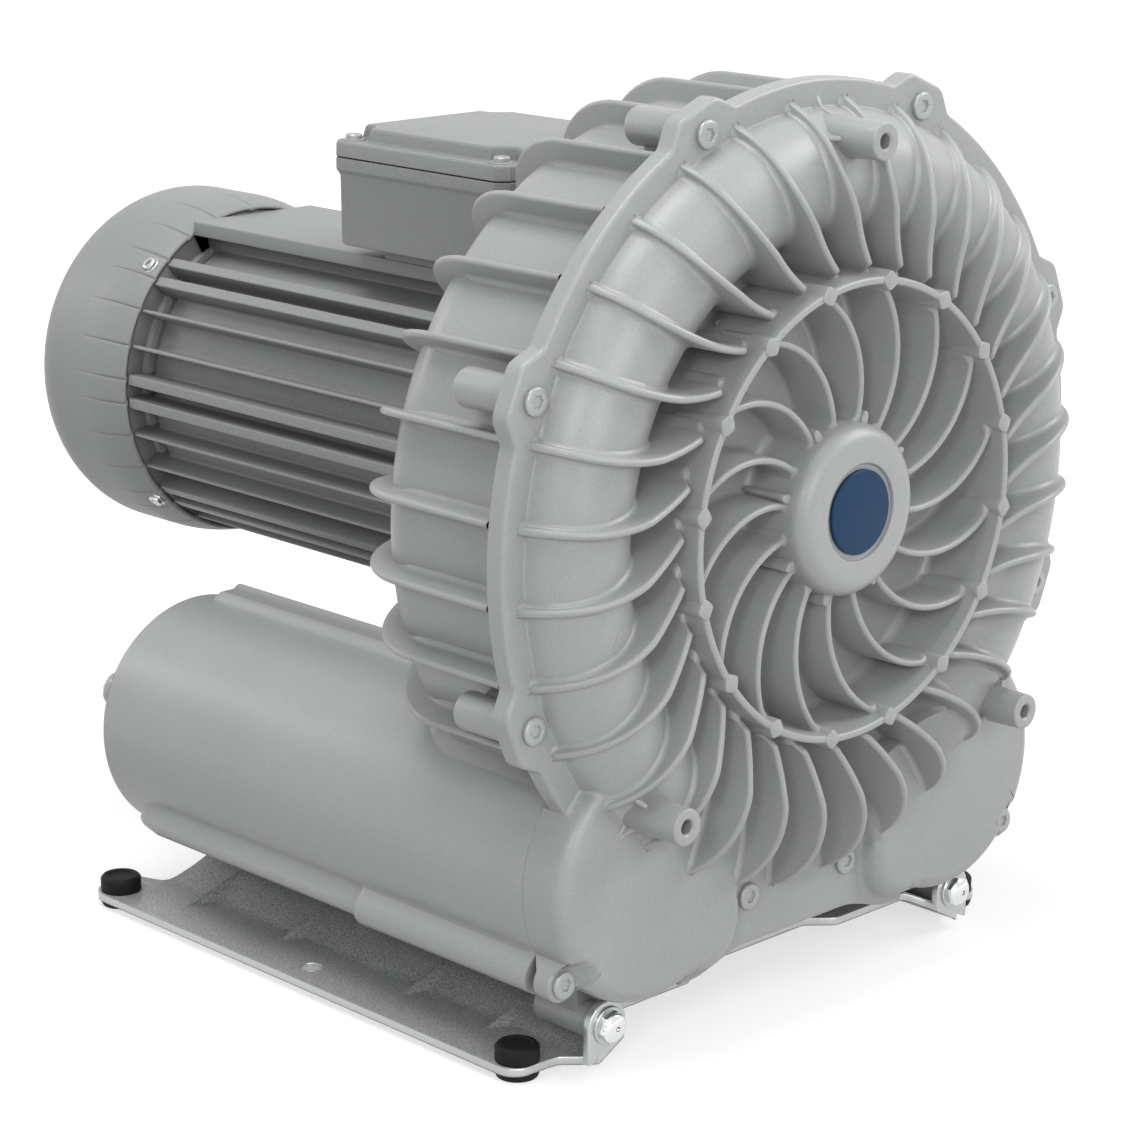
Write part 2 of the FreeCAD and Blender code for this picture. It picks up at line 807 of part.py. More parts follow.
def rear_fins():
    """Fins along the shell that wrap over its rear, left out where the drums join it."""
    tip = (d.shell_radius + d.fin_height).value
    rear = (d.shell_length + d.fin_overhang).value
    corner = d.fin_corner.value
    inner = d.spigot_radius.value - 3
    half = math.sqrt(0.5)
    start = FreeCAD.Vector(tip, 0, 0)
    turn_in = FreeCAD.Vector(tip, rear - corner, 0)
    middle = FreeCAD.Vector(tip - corner + corner * half, rear - corner + corner * half, 0)
    turn_out = FreeCAD.Vector(tip - corner, rear, 0)
    edges = [
        Part.LineSegment(start, turn_in).toShape(),
        Part.Arc(turn_in, middle, turn_out).toShape(),
        Part.LineSegment(turn_out, FreeCAD.Vector(inner + 24, rear - 8, 0)).toShape(),
        Part.LineSegment(
            FreeCAD.Vector(inner + 24, rear - 8, 0), FreeCAD.Vector(inner, rear - 26, 0)).toShape(),
        Part.LineSegment(FreeCAD.Vector(inner, rear - 26, 0), FreeCAD.Vector(inner, rear - 40, 0)).toShape(),
        Part.LineSegment(FreeCAD.Vector(inner, rear - 40, 0), FreeCAD.Vector(tip - 15, 0, 0)).toShape(),
        Part.LineSegment(FreeCAD.Vector(tip - 15, 0, 0), start).toShape(),
    ]
    width = d.fin_width.value
    face = Part.Face(Part.Wire(edges))
    face.translate(FreeCAD.Vector(0, 0, -width / 2))
    fin = face.extrude(FreeCAD.Vector(0, 0, width))
    fins = []
    for number in range(rib_count):
        angle = rib_step * (number + 0.5)
        if 213 < angle < 327:
            continue
        fins.append(spun(fin, angle))
    return fins


def rear_housing():
    """The finned housing with its drums, neck, screw bosses and foot bosses."""
    corner = d.shell_corner
    wall = d.channel_wall
    shell = turned("housing_shell", [
        (ZERO, ZERO),
        (d.shell_radius, ZERO),
        (d.shell_radius, d.shell_length - corner,
         (d.shell_radius - corner, d.shell_length - corner, 1)),
        (d.shell_radius - corner, d.shell_length),
        (d.channel_pitch - d.channel_radius - wall + 6.0, d.shell_length),
        (d.channel_pitch - d.channel_radius - wall - 8.0, d.shell_length - 14.0),
        (d.spigot_radius, d.wheel_room + 12.0),
        (d.spigot_radius, d.housing_length),
        (ZERO, d.housing_length),
    ])
    bosses = new_body("housing_bosses")
    x, z = at_angle(d.bolt_circle, -22.5)
    boss = add_pad(bosses, "XZ_Plane", ZERO, d.boss_length, circles=[(x, z, d.boss_radius)])
    web = add_pad(bosses, "XZ_Plane", ZERO, d.boss_length - 6.0, [
        (d.shell_radius - 6.0, as_size(-5.0)),
        (d.bolt_circle, as_size(-5.0)),
        (d.bolt_circle, as_size(5.0)),
        (d.shell_radius - 6.0, as_size(5.0)),
    ], turn=-22.5)
    repeat_round(bosses, [boss, web], 6, 225.0)
    drums = new_body("housing_drums")
    for side in (-1, 1):
        x = drum_x * side
        add_pad(drums, "XZ_Plane", ZERO, d.drum_length, circles=[(x, -d.drum_drop, d.drum_radius)])
    rail_low = -d.drum_drop + d.drum_radius - 6.0
    for side in (-1, 1):
        for px, pz in port_screw_spots(drum_x * side, -d.drum_drop):
            add_pad(drums, "XZ_Plane", d.drum_length - 18.0, as_size(18.0), circles=[(px, pz, as_size(7.5))])
        left = (drum_x - 3.0) * side
        right = (drum_x - 17.0) * side
        add_pad(drums, "XZ_Plane", as_size(20.0), d.drum_length - 24.0, [
            (left, rail_low),
            (left, rail_low + 9.5),
            (left - 3.0 * side, rail_low + 11.5),
            (right, rail_low + 11.5),
            (right, rail_low),
        ])
        bead_x = (drum_x + (d.drum_radius + 4.2) * cosine(39)) * side
        bead_z = -d.drum_drop - (d.drum_radius + 4.2) * sine(39)
        add_pad(drums, "XZ_Plane", ZERO, d.drum_length - 4.0, circles=[(bead_x, bead_z, as_size(6.0))])
        add_pad(drums, "XZ_Plane", ZERO, as_size(116.0), circles=[(bead_x, bead_z, d.boss_radius)])
    low = -d.drum_drop - d.drum_radius
    neck = padded("housing_neck", "XZ_Plane", ZERO, d.shell_length - 16.0, [
        (-drum_x + 20.0, low + 1.0),
        (-drum_x + 71.0, low + 9.0),
        (drum_x - 71.0, low + 9.0),
        (drum_x - 20.0, low + 1.0),
        (drum_x + 20.0, -d.drum_drop + 45.0),
        (drum_x - 10.0, -d.drum_drop + 90.0),
        (-drum_x + 10.0, -d.drum_drop + 90.0),
        (-drum_x - 20.0, -d.drum_drop + 45.0),
    ])
    feet = new_body("housing_feet")
    for side in (-1, 1):
        x = d.base_bolt_x * side
        z = -d.base_bolt_drop
        tab_back = -d.tab_front + d.plate_thickness
        add_pad(feet, "XZ_Plane", tab_back, 28.0 - tab_back, circles=[(x, z, as_size(8.8))])
        add_pad(feet, "XZ_Plane", as_size(0.0), as_size(28.0), [
            (x - 8.8, z),
            (x - 8.8, z + 30.0),
            (x + 8.8, z + 30.0),
            (x + 8.8, z),
        ])
    for side in (-1, 1):
        x = (drum_x - 12.0) * side
        add_pad(feet, "XY_Plane", rise_top, -d.drum_drop - d.drum_radius + 14.0 - rise_top,
                circles=[(x, d.plate_rear - 20.0, as_size(10.0))])
    fins = shaped("housing_fins", Part.makeCompound(rear_fins()))
    hollows = new_body("housing_drum_hollows")
    for side in (-1, 1):
        add_pad(hollows, "XZ_Plane", ZERO, d.drum_length,
                circles=[(drum_x * side, -d.drum_drop, d.drum_radius - d.drum_wall)])
    lower = cut("housing_lower", fused("housing_drum_pair", [drums, neck, feet]), hollows)
    whole = fused("housing", [shell, bosses, lower, fins])
    chamber = turned("housing_chamber", [
        (ZERO, ZERO),
        (d.channel_pitch + d.channel_radius - 4.3, ZERO),
        (d.channel_pitch + d.channel_radius - 4.3, d.wheel_room),
        (d.channel_pitch + d.channel_radius - 4.3, d.wheel_room + 8.0,
         (d.channel_pitch - 2.15, d.wheel_room + 8.0, 1)),
        (d.channel_pitch - d.channel_radius, d.wheel_room + 8.0),
        (d.channel_pitch - d.channel_radius, d.wheel_room),
        (d.seal_radius + d.seat_gap, d.wheel_room),
        (d.seal_radius + d.seat_gap, d.wheel_room + d.seal_width + 1.0),
        (d.shaft_seal_radius + 3.0, d.wheel_room + d.seal_width + 1.0),
        (d.shaft_seal_radius + 3.0, d.housing_length - 8.0),
        (d.barrel_radius - 12.0, d.housing_length - 8.0),
        (d.barrel_radius - 12.0, d.housing_length),
        (ZERO, d.housing_length),
    ])
    holes = new_body("housing_holes")
    for side in (-1, 1):
        x = drum_x * side
        add_pad(holes, "XY_Plane", -d.drum_drop, as_size(44.0), circles=[(x, as_size(30.0), as_size(22.0))])
        add_pad(holes, "XZ_Plane", d.drum_length - 14.0, as_size(15.0), circles=[
            (px, pz, as_size(2.55)) for px, pz in port_screw_spots(x, -d.drum_drop)])
        add_pad(holes, "XZ_Plane", -d.tab_front + d.plate_thickness, as_size(30.0),
                circles=[(d.base_bolt_x * side, -d.base_bolt_drop, d.base_bolt_radius)])
        add_pad(holes, "XY_Plane", rise_top - 1.0, as_size(14.0),
                circles=[((drum_x - 12.0) * side, d.plate_rear - 20.0, d.base_bolt_radius)])
    x, z = at_angle(d.bolt_circle, -22.5)
    screw = add_pad(holes, "XZ_Plane", as_size(-1.0), as_size(19.0), circles=[(x, z, d.screw_radius)])
    repeat_round(holes, [screw], 6, 225.0)
    for x, z, start in low_screw_spots():
        add_pad(holes, "XZ_Plane", as_size(-1.0), as_size(19.0), circles=[(x, z, d.screw_radius)])
    for angle in mount_angles:
        x, z = at_angle(mount_circle, angle)
        add_pad(holes, "XZ_Plane", d.housing_length - 13.0, as_size(14.0), circles=[(x, z, as_size(2.55))])
    cavity = fused("housing_hollow", [chamber, holes])
    keep(cut("rear_housing", whole, cavity), "rear_housing")


rear_housing()


# Wheel, shaft and bearings

wheel_front = d.wheel_gap
wheel_rear = d.wheel_gap + d.wheel_width
hub_front = as_size(8.0)
hub_rear = as_size(44.0)
shaft_front = hub_front + 1.0
shaft_rear = cowl_rear - 28.0
key_start = hub_front + 6.0
key_length = as_size(24.0)


def wheel():
    """The vaned wheel with its key, washer and screw."""
    bore = d.shaft_nose_radius + 0.02
    middle = (wheel_front + wheel_rear) / 2
    web = d.web_thickness / 2
    body = turned("impeller", [
        (bore, hub_front),
        (d.wheel_hub_radius, hub_front),
        (d.wheel_hub_radius + 5.0, middle - web - 1.0),
        (d.vane_root - 5.0, middle - web),
        (d.vane_root, wheel_front),
        (d.vane_root + 3.5, wheel_front),
        (d.vane_root + 6.0, middle - 2.5),
        (d.wheel_radius, middle - 1.5),
        (d.wheel_radius, middle + 1.5),
        (d.vane_root + 6.0, middle + 2.5),
        (d.vane_root + 3.5, wheel_rear),
        (d.vane_root, wheel_rear),
        (d.vane_root - 5.0, middle + web),
        (d.wheel_hub_radius + 5.0, middle + web + 1.0),
        (d.wheel_hub_radius, hub_rear),
        (bore, hub_rear),
    ])
    half = d.vane_width / 2
    vane = add_pad(body, "XZ_Plane", wheel_front, d.wheel_width, [
        (d.vane_root + 1.0, -half),
        (d.wheel_radius, -half),
        (d.wheel_radius, half),
        (d.vane_root + 1.0, half),
    ])
    repeat_round(body, [vane], int(d.vane_count.value))
    slot = d.key_width / 2
    add_pocket(body, "XZ_Plane", hub_front - 1.0, hub_rear - hub_front + 2.0, [
        (-slot, ZERO),
        (slot, ZERO),
        (slot, bore + 3.3),
        (-slot, bore + 3.3),
    ])
    keep(body, "impeller")
    key = padded("impeller_key", "XZ_Plane", key_start, key_length, [
        (-slot + 0.02, d.shaft_nose_radius + 3.1 - d.key_height),
        (slot - 0.02, d.shaft_nose_radius + 3.1 - d.key_height),
        (slot - 0.02, d.shaft_nose_radius + 3.1),
        (-slot + 0.02, d.shaft_nose_radius + 3.1),
    ])
    keep(key, "impeller_key")
    washer = turned("impeller_washer", [
        (as_size(5.3), hub_front - 4.0),
        (as_size(18.0), hub_front - 4.0),
        (as_size(18.0), hub_front),
        (as_size(5.3), hub_front),
    ])
    keep(washer, "impeller_washer")
    screw = turned("impeller_screw", [
        (ZERO, hub_front - 11.0),
        (as_size(8.6), hub_front - 11.0),
        (as_size(8.6), hub_front - 4.0),
        (as_size(5.0), hub_front - 4.0),
        (as_size(5.0), hub_front + 26.0),
        (ZERO, hub_front + 26.0),
    ])
    keep(screw, "impeller_screw")


def shaft_and_seal():
    bearing_end = front_bearing_y + d.bearing_width
    body = turned("shaft", [
        (as_size(5.03), shaft_front),
        (d.shaft_nose_radius, shaft_front),
        (d.shaft_nose_radius, hub_rear),
        (d.shaft_seal_radius, hub_rear),
        (d.shaft_seal_radius, front_bearing_y - 5.0),
        (d.journal_radius, front_bearing_y - 5.0),
        (d.journal_radius, bearing_end),
        (d.shaft_middle_radius, bearing_end),
        (d.shaft_middle_radius, rear_bearing_y),
        (d.journal_radius, rear_bearing_y),
        (d.journal_radius, rear_bearing_y + d.bearing_width + 2.0),
        (d.shaft_tail_radius, rear_bearing_y + d.bearing_width + 2.0),
        (d.shaft_tail_radius, shaft_rear - 4.0),
        (d.shaft_tail_radius - 0.8, shaft_rear - 4.0),
        (d.shaft_tail_radius - 0.8, shaft_rear - 2.6),
        (d.shaft_tail_radius, shaft_rear - 2.6),
        (d.shaft_tail_radius, shaft_rear),
        (ZERO, shaft_rear),
        (ZERO, hub_front + 30.0),
        (as_size(5.03), hub_front + 27.0),
    ])
    slot = d.key_width / 2
    add_pocket(body, "XZ_Plane", key_start - 0.02, key_length + 0.04, [
        (-slot, d.shaft_nose_radius + 3.0 - d.key_height),
        (slot, d.shaft_nose_radius + 3.0 - d.key_height),
        (slot, d.shaft_nose_radius + 5.0),
        (-slot, d.shaft_nose_radius + 5.0),
    ])
    keep(body, "shaft")
    seal = turned("shaft_seal", [
        (d.shaft_seal_radius + d.seat_gap, d.wheel_room + 1.5),
        (d.shaft_seal_radius + 3.5, d.wheel_room + 0.2),
        (d.seal_radius, d.wheel_room + 0.2),
        (d.seal_radius, d.wheel_room + d.seal_width),
        (d.seal_radius - 2.0, d.wheel_room + d.seal_width),
        (d.seal_radius - 2.0, d.wheel_room + 2.4),
        (d.shaft_seal_radius + 3.0, d.wheel_room + 2.4),
        (d.shaft_seal_radius + 2.0, d.wheel_room + 4.6),
        (d.shaft_seal_radius + d.seat_gap, d.wheel_room + 4.6),
    ])
    keep(seal, "shaft_seal")


def bearing(name, start):
    """A deep groove ball bearing: outer ring, inner ring and balls."""
    pitch = (d.bearing_radius + d.journal_radius) / 2
    middle = start + d.bearing_width / 2
    land = d.ball_radius * 0.68
    groove = d.ball_radius + 0.04
    reach = Size((groove.value ** 2 - land.value ** 2) ** 0.5,
                 f"sqrt({groove.text} ^ 2 - {land.text} ^ 2)")
    outer = turned(name + "_outer_ring", [
        (d.bearing_radius, start),
        (d.bearing_radius, start + d.bearing_width),
        (pitch + land, start + d.bearing_width),
        (pitch + land, middle + reach, (pitch, middle, -1)),
        (pitch + land, middle - reach),
        (pitch + land, start),
    ])
    keep(outer, name + "_outer_ring")
    bore = d.journal_radius + 0.01
    inner = turned(name + "_inner_ring", [
        (bore, start),
        (pitch - land, start),
        (pitch - land, middle - reach, (pitch, middle, -1)),
        (pitch - land, middle + reach),
        (pitch - land, start + d.bearing_width),
        (bore, start + d.bearing_width),
    ])
    keep(inner, name + "_inner_ring")
    balls = new_body(name + "_balls")
    ball = balls.newObject("PartDesign::AdditiveSphere", name + "_ball")
    ball.Radius = d.ball_radius.value
    ball.setExpression("Radius", d.ball_radius.text)
    ball.Placement = FreeCAD.Placement(vector(pitch, middle, 0), FreeCAD.Rotation())
    ball.setExpression("Placement.Base.x", pitch.text)
    ball.setExpression("Placement.Base.y", middle.text)
    balls.Tip = ball
    repeat_round(balls, [ball], int(d.ball_count.value))
    keep(balls, name + "_balls")


wheel()
shaft_and_seal()
bearing("front_bearing", front_bearing_y)
bearing("rear_bearing", rear_bearing_y)

# Motor

rod_circle = as_size(66.0)
lug_angles = (45, 135, 225, 315)
cowl_screw_y = cowl_front + 7.0


def end_shields():
    """Drive end shield on the housing, rear shield, their screws and the spring ring."""
    pocket = d.bearing_radius + d.seat_gap
    face = d.housing_length
    shield = turned("drive_end_shield", [
        (d.journal_radius + 2.0, face),
        (d.fin_tip_radius - 0.8, face),
        (d.fin_tip_radius - 0.8, barrel_front),
        (d.barrel_radius - d.barrel_wall - d.seat_gap, barrel_front),
        (d.barrel_radius - d.barrel_wall - d.seat_gap, barrel_front + 4.0),
        (as_size(56.0), barrel_front + 4.0),
        (as_size(50.0), barrel_front - 2.0),
        (d.bearing_radius + 8.0, barrel_front - 2.0),
        (d.bearing_radius + 8.0, front_bearing_y + d.bearing_width + 1.0),
        (pocket, front_bearing_y + d.bearing_width + 1.0),
        (pocket, front_bearing_y),
        (d.journal_radius + 2.0, front_bearing_y),
    ])
    for angle in mount_angles:
        x, z = at_angle(mount_circle, angle)
        add_pocket(shield, "XZ_Plane", face - 1.0, d.shield_length + 2.0, circles=[(x, z, as_size(2.8))])
        add_pocket(shield, "XZ_Plane", barrel_front - 4.0, as_size(5.0), circles=[(x, z, as_size(4.9))])
    for angle in (0, 90, 180, 270):
        x, z = at_angle(rod_circle, angle)
        add_pocket(shield, "XZ_Plane", face + 3.0, as_size(20.0), circles=[(x, z, as_size(2.53))])
    keep(shield, "drive_end_shield")
    mounts = new_body("motor_mount_screws")
    for angle in mount_angles:
        x, z = at_angle(mount_circle, angle)
        add_pad(mounts, "XZ_Plane", face - 12.0, d.shield_length + 8.0, circles=[(x, z, as_size(2.5))])
        add_pad(mounts, "XZ_Plane", barrel_front - 4.0, as_size(3.5), circles=[(x, z, as_size(4.5))])
    keep(mounts, "motor_mount_screws")
    rear = turned("rear_end_shield", [
        (d.journal_radius + 2.0, rear_bearing_y + d.bearing_width + 4.0),
        (d.journal_radius + 2.0, rear_bearing_y + d.bearing_width + 2.0),
        (pocket, rear_bearing_y + d.bearing_width + 2.0),
        (pocket, rear_bearing_y - 2.0),
        (d.bearing_radius + 7.0, rear_bearing_y - 2.0),
        (d.bearing_radius + 7.0, barrel_rear + 4.0),
        (as_size(60.0), barrel_rear + 4.0),
        (as_size(60.0), barrel_rear - 4.0),
        (d.barrel_radius - d.barrel_wall - d.seat_gap, barrel_rear - 4.0),
        (d.barrel_radius - d.barrel_wall - d.seat_gap, barrel_rear),
        (d.barrel_radius, barrel_rear),
        (d.barrel_radius, barrel_rear + d.rear_shield_length),
        (d.bearing_radius + 10.0, barrel_rear + d.rear_shield_length),
        (d.bearing_radius + 7.0, rear_bearing_y + d.bearing_width + 4.0),
    ])
    lug = add_pad(rear, "XZ_Plane", cowl_front + 0.5, as_size(12.0), [
        (d.barrel_radius - 8.0, as_size(-8.0)),
        (d.cowl_radius - 7.6, as_size(-8.0)),
        (d.cowl_radius - 7.6, as_size(8.0)),
        (d.barrel_radius - 8.0, as_size(8.0)),
    ], turn=-45.0)
    repeat_round(rear, [lug], 4)
    for angle in (0, 90, 180, 270):
        x, z = at_angle(rod_circle, angle)
        add_pocket(rear, "XZ_Plane", barrel_rear - 6.0, as_size(24.0), circles=[(x, z, as_size(2.8))])
    tap = doc.addObject("Part::Cylinder", "cowl_screw_taps")
    taps = [tap]
    for number, angle in enumerate(lug_angles):
        if number:
            tap = doc.addObject("Part::Cylinder", f"cowl_screw_taps_{number}")
            taps.append(tap)
        tap.Radius = 1.9
        tap.Height = 14.0
        tap.Placement = radial_place(d.cowl_radius - 21.0, angle, cowl_screw_y)
    keep(cut("rear_end_shield", rear, fused("cowl_screw_tap", taps)), "rear_end_shield")
    rods = new_body("tie_rods")
    for angle in (0, 90, 180, 270):
        x, z = at_angle(rod_circle, angle)
        add_pad(rods, "XZ_Plane", face + 4.0, barrel_rear + d.rear_shield_length - face - 4.0,
                circles=[(x, z, as_size(2.5))])
        add_pad(rods, "XZ_Plane", barrel_rear + d.rear_shield_length, as_size(4.0),
                circles=[(x, z, as_size(4.3))])
    keep(rods, "tie_rods")
    spring = turned("wave_spring", [
        (d.bearing_radius - 4.0, rear_bearing_y + d.bearing_width + 0.1),
        (d.bearing_radius - 0.4, rear_bearing_y + d.bearing_width + 0.1),
        (d.bearing_radius - 0.4, rear_bearing_y + d.bearing_width + 1.9),
        (d.bearing_radius - 4.0, rear_bearing_y + d.bearing_width + 1.9),
    ])
    keep(spring, "wave_spring")


def radial_place(radius, angle, y):
    """Places a cylinder so that its axis points outward from the shaft axis."""
    turn = FreeCAD.Rotation(FreeCAD.Vector(0, 1, 0), 90.0 - angle)
    x, z = at_angle(radius, angle)
    return FreeCAD.Placement(vector(x, y, z), turn)


def stator():
    """Finned barrel with its top pad, the core and the windings."""
    inner = d.barrel_radius - d.barrel_wall
    frame = padded("stator_frame", "XZ_Plane", barrel_front, d.barrel_length,
                   circles=[(ZERO, ZERO, d.barrel_radius), (ZERO, ZERO, inner)])
    rail = d.rail_width / 2
    start = barrel_front + 2.0
    length = d.barrel_length - 2.0
    sides = [45 + side * 4.2 for side in (-1, 1)]
    rails = []
    for angle in sides:
        rails.append(add_pad(frame, "XZ_Plane", start, length, [
            (d.barrel_radius - 1.5, -rail),
            (d.fin_tip_radius, -rail),
            (d.fin_tip_radius, rail),
            (d.barrel_radius - 1.5, rail),
        ], turn=float(angle)))
    repeat_round(frame, rails, 4)
    for angle in (0 - 4.2, 0 + 4.2, 180 - 4.2, 180 + 4.2, 270 - 4.2, 270 + 4.2):
        add_pad(frame, "XZ_Plane", start, length, [
            (d.barrel_radius - 1.5, -rail),
            (d.fin_tip_radius, -rail),
            (d.fin_tip_radius, rail),
            (d.barrel_radius - 1.5, rail),
        ], turn=float(angle))
    thin = d.motor_fin_width / 2
    for angle in (16, 29, 151, 164, 196, 209, 241, 254, 286, 299, 331, 344):
        add_pad(frame, "XZ_Plane", start, length, [
            (d.barrel_radius - 1.5, -thin),
            (d.fin_tip_radius, -thin),
            (d.fin_tip_radius, thin),
            (d.barrel_radius - 1.5, thin),
        ], turn=float(angle))
    side = d.pad_half_width
    low = d.barrel_radius - 13.0
    add_pad(frame, "XZ_Plane", start, length, [
        (-side, low),
        (side, low),
        (side + 2.8, d.pad_height - 6.8),
        (side, d.pad_height),
        (-side, d.pad_height),
        (-side - 2.8, d.pad_height - 6.8),
    ])
    keep(cut("stator_frame", frame, stator_bore(inner)), "stator_frame")
    core_front = barrel_front + d.core_start
    core = padded("stator_core", "XZ_Plane", core_front, d.core_length,
                  circles=[(ZERO, ZERO, inner - d.seat_gap), (ZERO, ZERO, d.rotor_radius + d.air_gap)])
    for number in range(4):
        x, z = at_angle(rod_circle, 90.0 * number)
        add_pocket(core, "XZ_Plane", core_front - 1.0, d.core_length + 2.0, circles=[(x, z, as_size(2.8))])
    x, z = at_angle(52.0, 15)
    slot = add_pocket(core, "XZ_Plane", core_front - 1.0, d.core_length + 2.0,
                      circles=[(x, z, as_size(4.3))])
    repeat_round(core, [slot], 12)
    keep(core, "stator_core")
    coil = new_body("stator_windings")
    ends = [core_front - d.winding_length, core_front + d.core_length + 0.3]
    for place in ends:
        add_pad(coil, "XZ_Plane", place, d.winding_length - 0.3,
                circles=[(ZERO, ZERO, as_size(61.0)), (ZERO, ZERO, as_size(46.0))])
    bar = add_pad(coil, "XZ_Plane", core_front - 1.0, d.core_length + 2.0, circles=[(x, z, as_size(4.0))])
    repeat_round(coil, [bar], 12)
    keep(coil, "stator_windings")
    bore = d.shaft_middle_radius + 0.02
    rotor = turned("rotor_core", [
        (bore, core_front - 6.0),
        (bore + 8.0, core_front - 6.0),
        (d.rotor_radius - 4.0, core_front - 10.0),
        (d.rotor_radius - 1.0, core_front),
        (d.rotor_radius, core_front),
        (d.rotor_radius, core_front + d.core_length),
        (d.rotor_radius - 1.0, core_front + d.core_length),
        (d.rotor_radius - 4.0, core_front + d.core_length + 10.0),
        (bore + 8.0, core_front + d.core_length + 6.0),
        (bore, core_front + d.core_length + 6.0),
    ])
    keep(rotor, "rotor_core")


def stator_bore(inner):
    """The bore and the cable hole under the terminal box."""
    bore = doc.addObject("Part::Cylinder", "barrel_bore")
    bore.setExpression("Radius", inner.text)
    bore.setExpression("Height", (d.barrel_length + 20.0).text)
    bore.Placement = FreeCAD.Placement(
        FreeCAD.Vector(0, 0, 0), FreeCAD.Rotation(FreeCAD.Vector(1, 0, 0), -90))
    bore.setExpression("Placement.Base.y", (barrel_front - 10.0).text)
    hole = doc.addObject("Part::Cylinder", "barrel_cable_hole")
    hole.Radius = 11.0
    hole.setExpression("Height", (d.pad_height + 5.0).text)
    hole.setExpression("Placement.Base.y", (box_front + d.box_length / 2 - 30.0).text)
    return fused("barrel_hollow", [bore, hole])


def fan_and_cowl():
    """Cooling fan, its clip, the cowl over it and the cowl screws."""
    bore = d.shaft_tail_radius + 0.02
    front = shaft_rear - 4.2 - d.fan_width
    rear = shaft_rear - 4.2
    fan = turned("cooling_fan", [
        (bore, front),
        (as_size(17.0), front),
        (as_size(19.0), rear - 4.0),
        (d.fan_radius, rear - 9.0),
        (d.fan_radius, rear - 6.5),
        (as_size(19.0), rear),
        (bore, rear),
    ])
    blade = add_pad(fan, "XZ_Plane", front + 1.0, rear - front - 9.0, [
        (as_size(17.5), as_size(-1.0)),
        (d.fan_radius, as_size(-1.0)),
        (d.fan_radius, as_size(1.0)),
        (as_size(17.5), as_size(1.0)),
    ])
    repeat_round(fan, [blade], 9)
    keep(fan, "cooling_fan")
    clip = turned("fan_clip", [
        (d.shaft_tail_radius - 0.7, shaft_rear - 3.9),
        (as_size(12.5), shaft_rear - 3.9),
        (as_size(12.5), shaft_rear - 2.7),
        (d.shaft_tail_radius - 0.7, shaft_rear - 2.7),
    ])
    keep(clip, "fan_clip")
    wall = d.cowl_wall
    r = d.cowl_radius
    corner = d.cowl_corner
    rim = r - 4.6
    swell = cowl_front + 24.0
    cowl = turned("fan_cowl", [
        (rim, cowl_front),
        (r, swell),
        (r, cowl_rear - corner, (r - corner, cowl_rear - corner, 1)),
        (r - corner, cowl_rear),
        (ZERO, cowl_rear),
        (ZERO, cowl_rear - wall),
        (r - corner, cowl_rear - wall, (r - corner, cowl_rear - corner, -1)),
        (r - wall, cowl_rear - corner),
        (r - wall, swell),
        (rim - wall, cowl_front),
    ])
    slots = []
    for low in (18.0, 30.0, 42.0, 54.0):
        slots.append(grille_slot(cowl, as_size(low), as_size(low + 5.0)))
    repeat_round(cowl, slots, 6)
    holes = []
    for number, angle in enumerate(lug_angles):
        hole = doc.addObject("Part::Cylinder", f"cowl_screw_hole_{number}")
        hole.Radius = 2.3
        hole.Height = 20.0
        hole.Placement = radial_place(d.cowl_radius - 14.0, angle, cowl_screw_y)
        holes.append(hole)
    keep(cut("fan_cowl", cowl, fused("cowl_screw_holes", holes)), "fan_cowl")
    lean = 4.6 / 24.0
    head_seat = rim.value + (cowl_screw_y - cowl_front).value * lean
    screws = []
    for angle in lug_angles:
        head = Part.makeCylinder(4.2, 2.6, FreeCAD.Vector(0, 0, 0.8))
        shank = Part.makeCylinder(1.85, 12.0, FreeCAD.Vector(0, 0, -11.0))
        screw = head.fuse(shank)
        screw.Placement = radial_place(head_seat, angle, cowl_screw_y)
        screws.append(screw)
    keep(shaped("cowl_screws", Part.makeCompound(screws)), "cowl_screws")


def grille_slot(body, low, high):
    """One ring slot of the cowl's rear face, 50 degrees long."""
    half = 25.0
    return add_pocket(body, "XZ_Plane", cowl_rear - d.cowl_wall - 6.0, d.cowl_wall + 8.0, [
        (low * cosine(half), -low * sine(half)),
        (high * cosine(half), -high * sine(half), (ZERO, ZERO, 1)),
        (high * cosine(half), high * sine(half)),
        (low * cosine(half), low * sine(half), (ZERO, ZERO, -1)),
    ])


box_front = barrel_front + d.box_front
box_rear = box_front + d.box_length
box_floor = d.pad_height + d.box_neck
box_top = box_floor + d.box_height
gasket_top = box_top + d.gasket_thickness
lid_top = gasket_top + d.lid_thickness
gland_z = box_floor + d.box_height / 2
gland_spots = (box_front + 36.0, box_front + 81.0)


def box_plan(inset):
    """Plan of the terminal box, all sides moved in by the inset."""
    x = d.box_half_width - inset
    front = box_front + inset
    rear = box_rear - inset
    chamfer = 5.0
    return [
        (-x + chamfer, front),
        (x - chamfer, front),
        (x, front + chamfer),
        (x, rear - chamfer),
        (x - chamfer, rear),
        (-x + chamfer, rear),
        (-x, rear - chamfer),
        (-x, front + chamfer),
    ]


def lid_screw_spots():
    spots = []
    for side in (-1, 1):
        for place in (box_front + 9.0, box_rear - 9.0):
            spots.append(((d.box_half_width - 8.5) * side, place))
    return spots


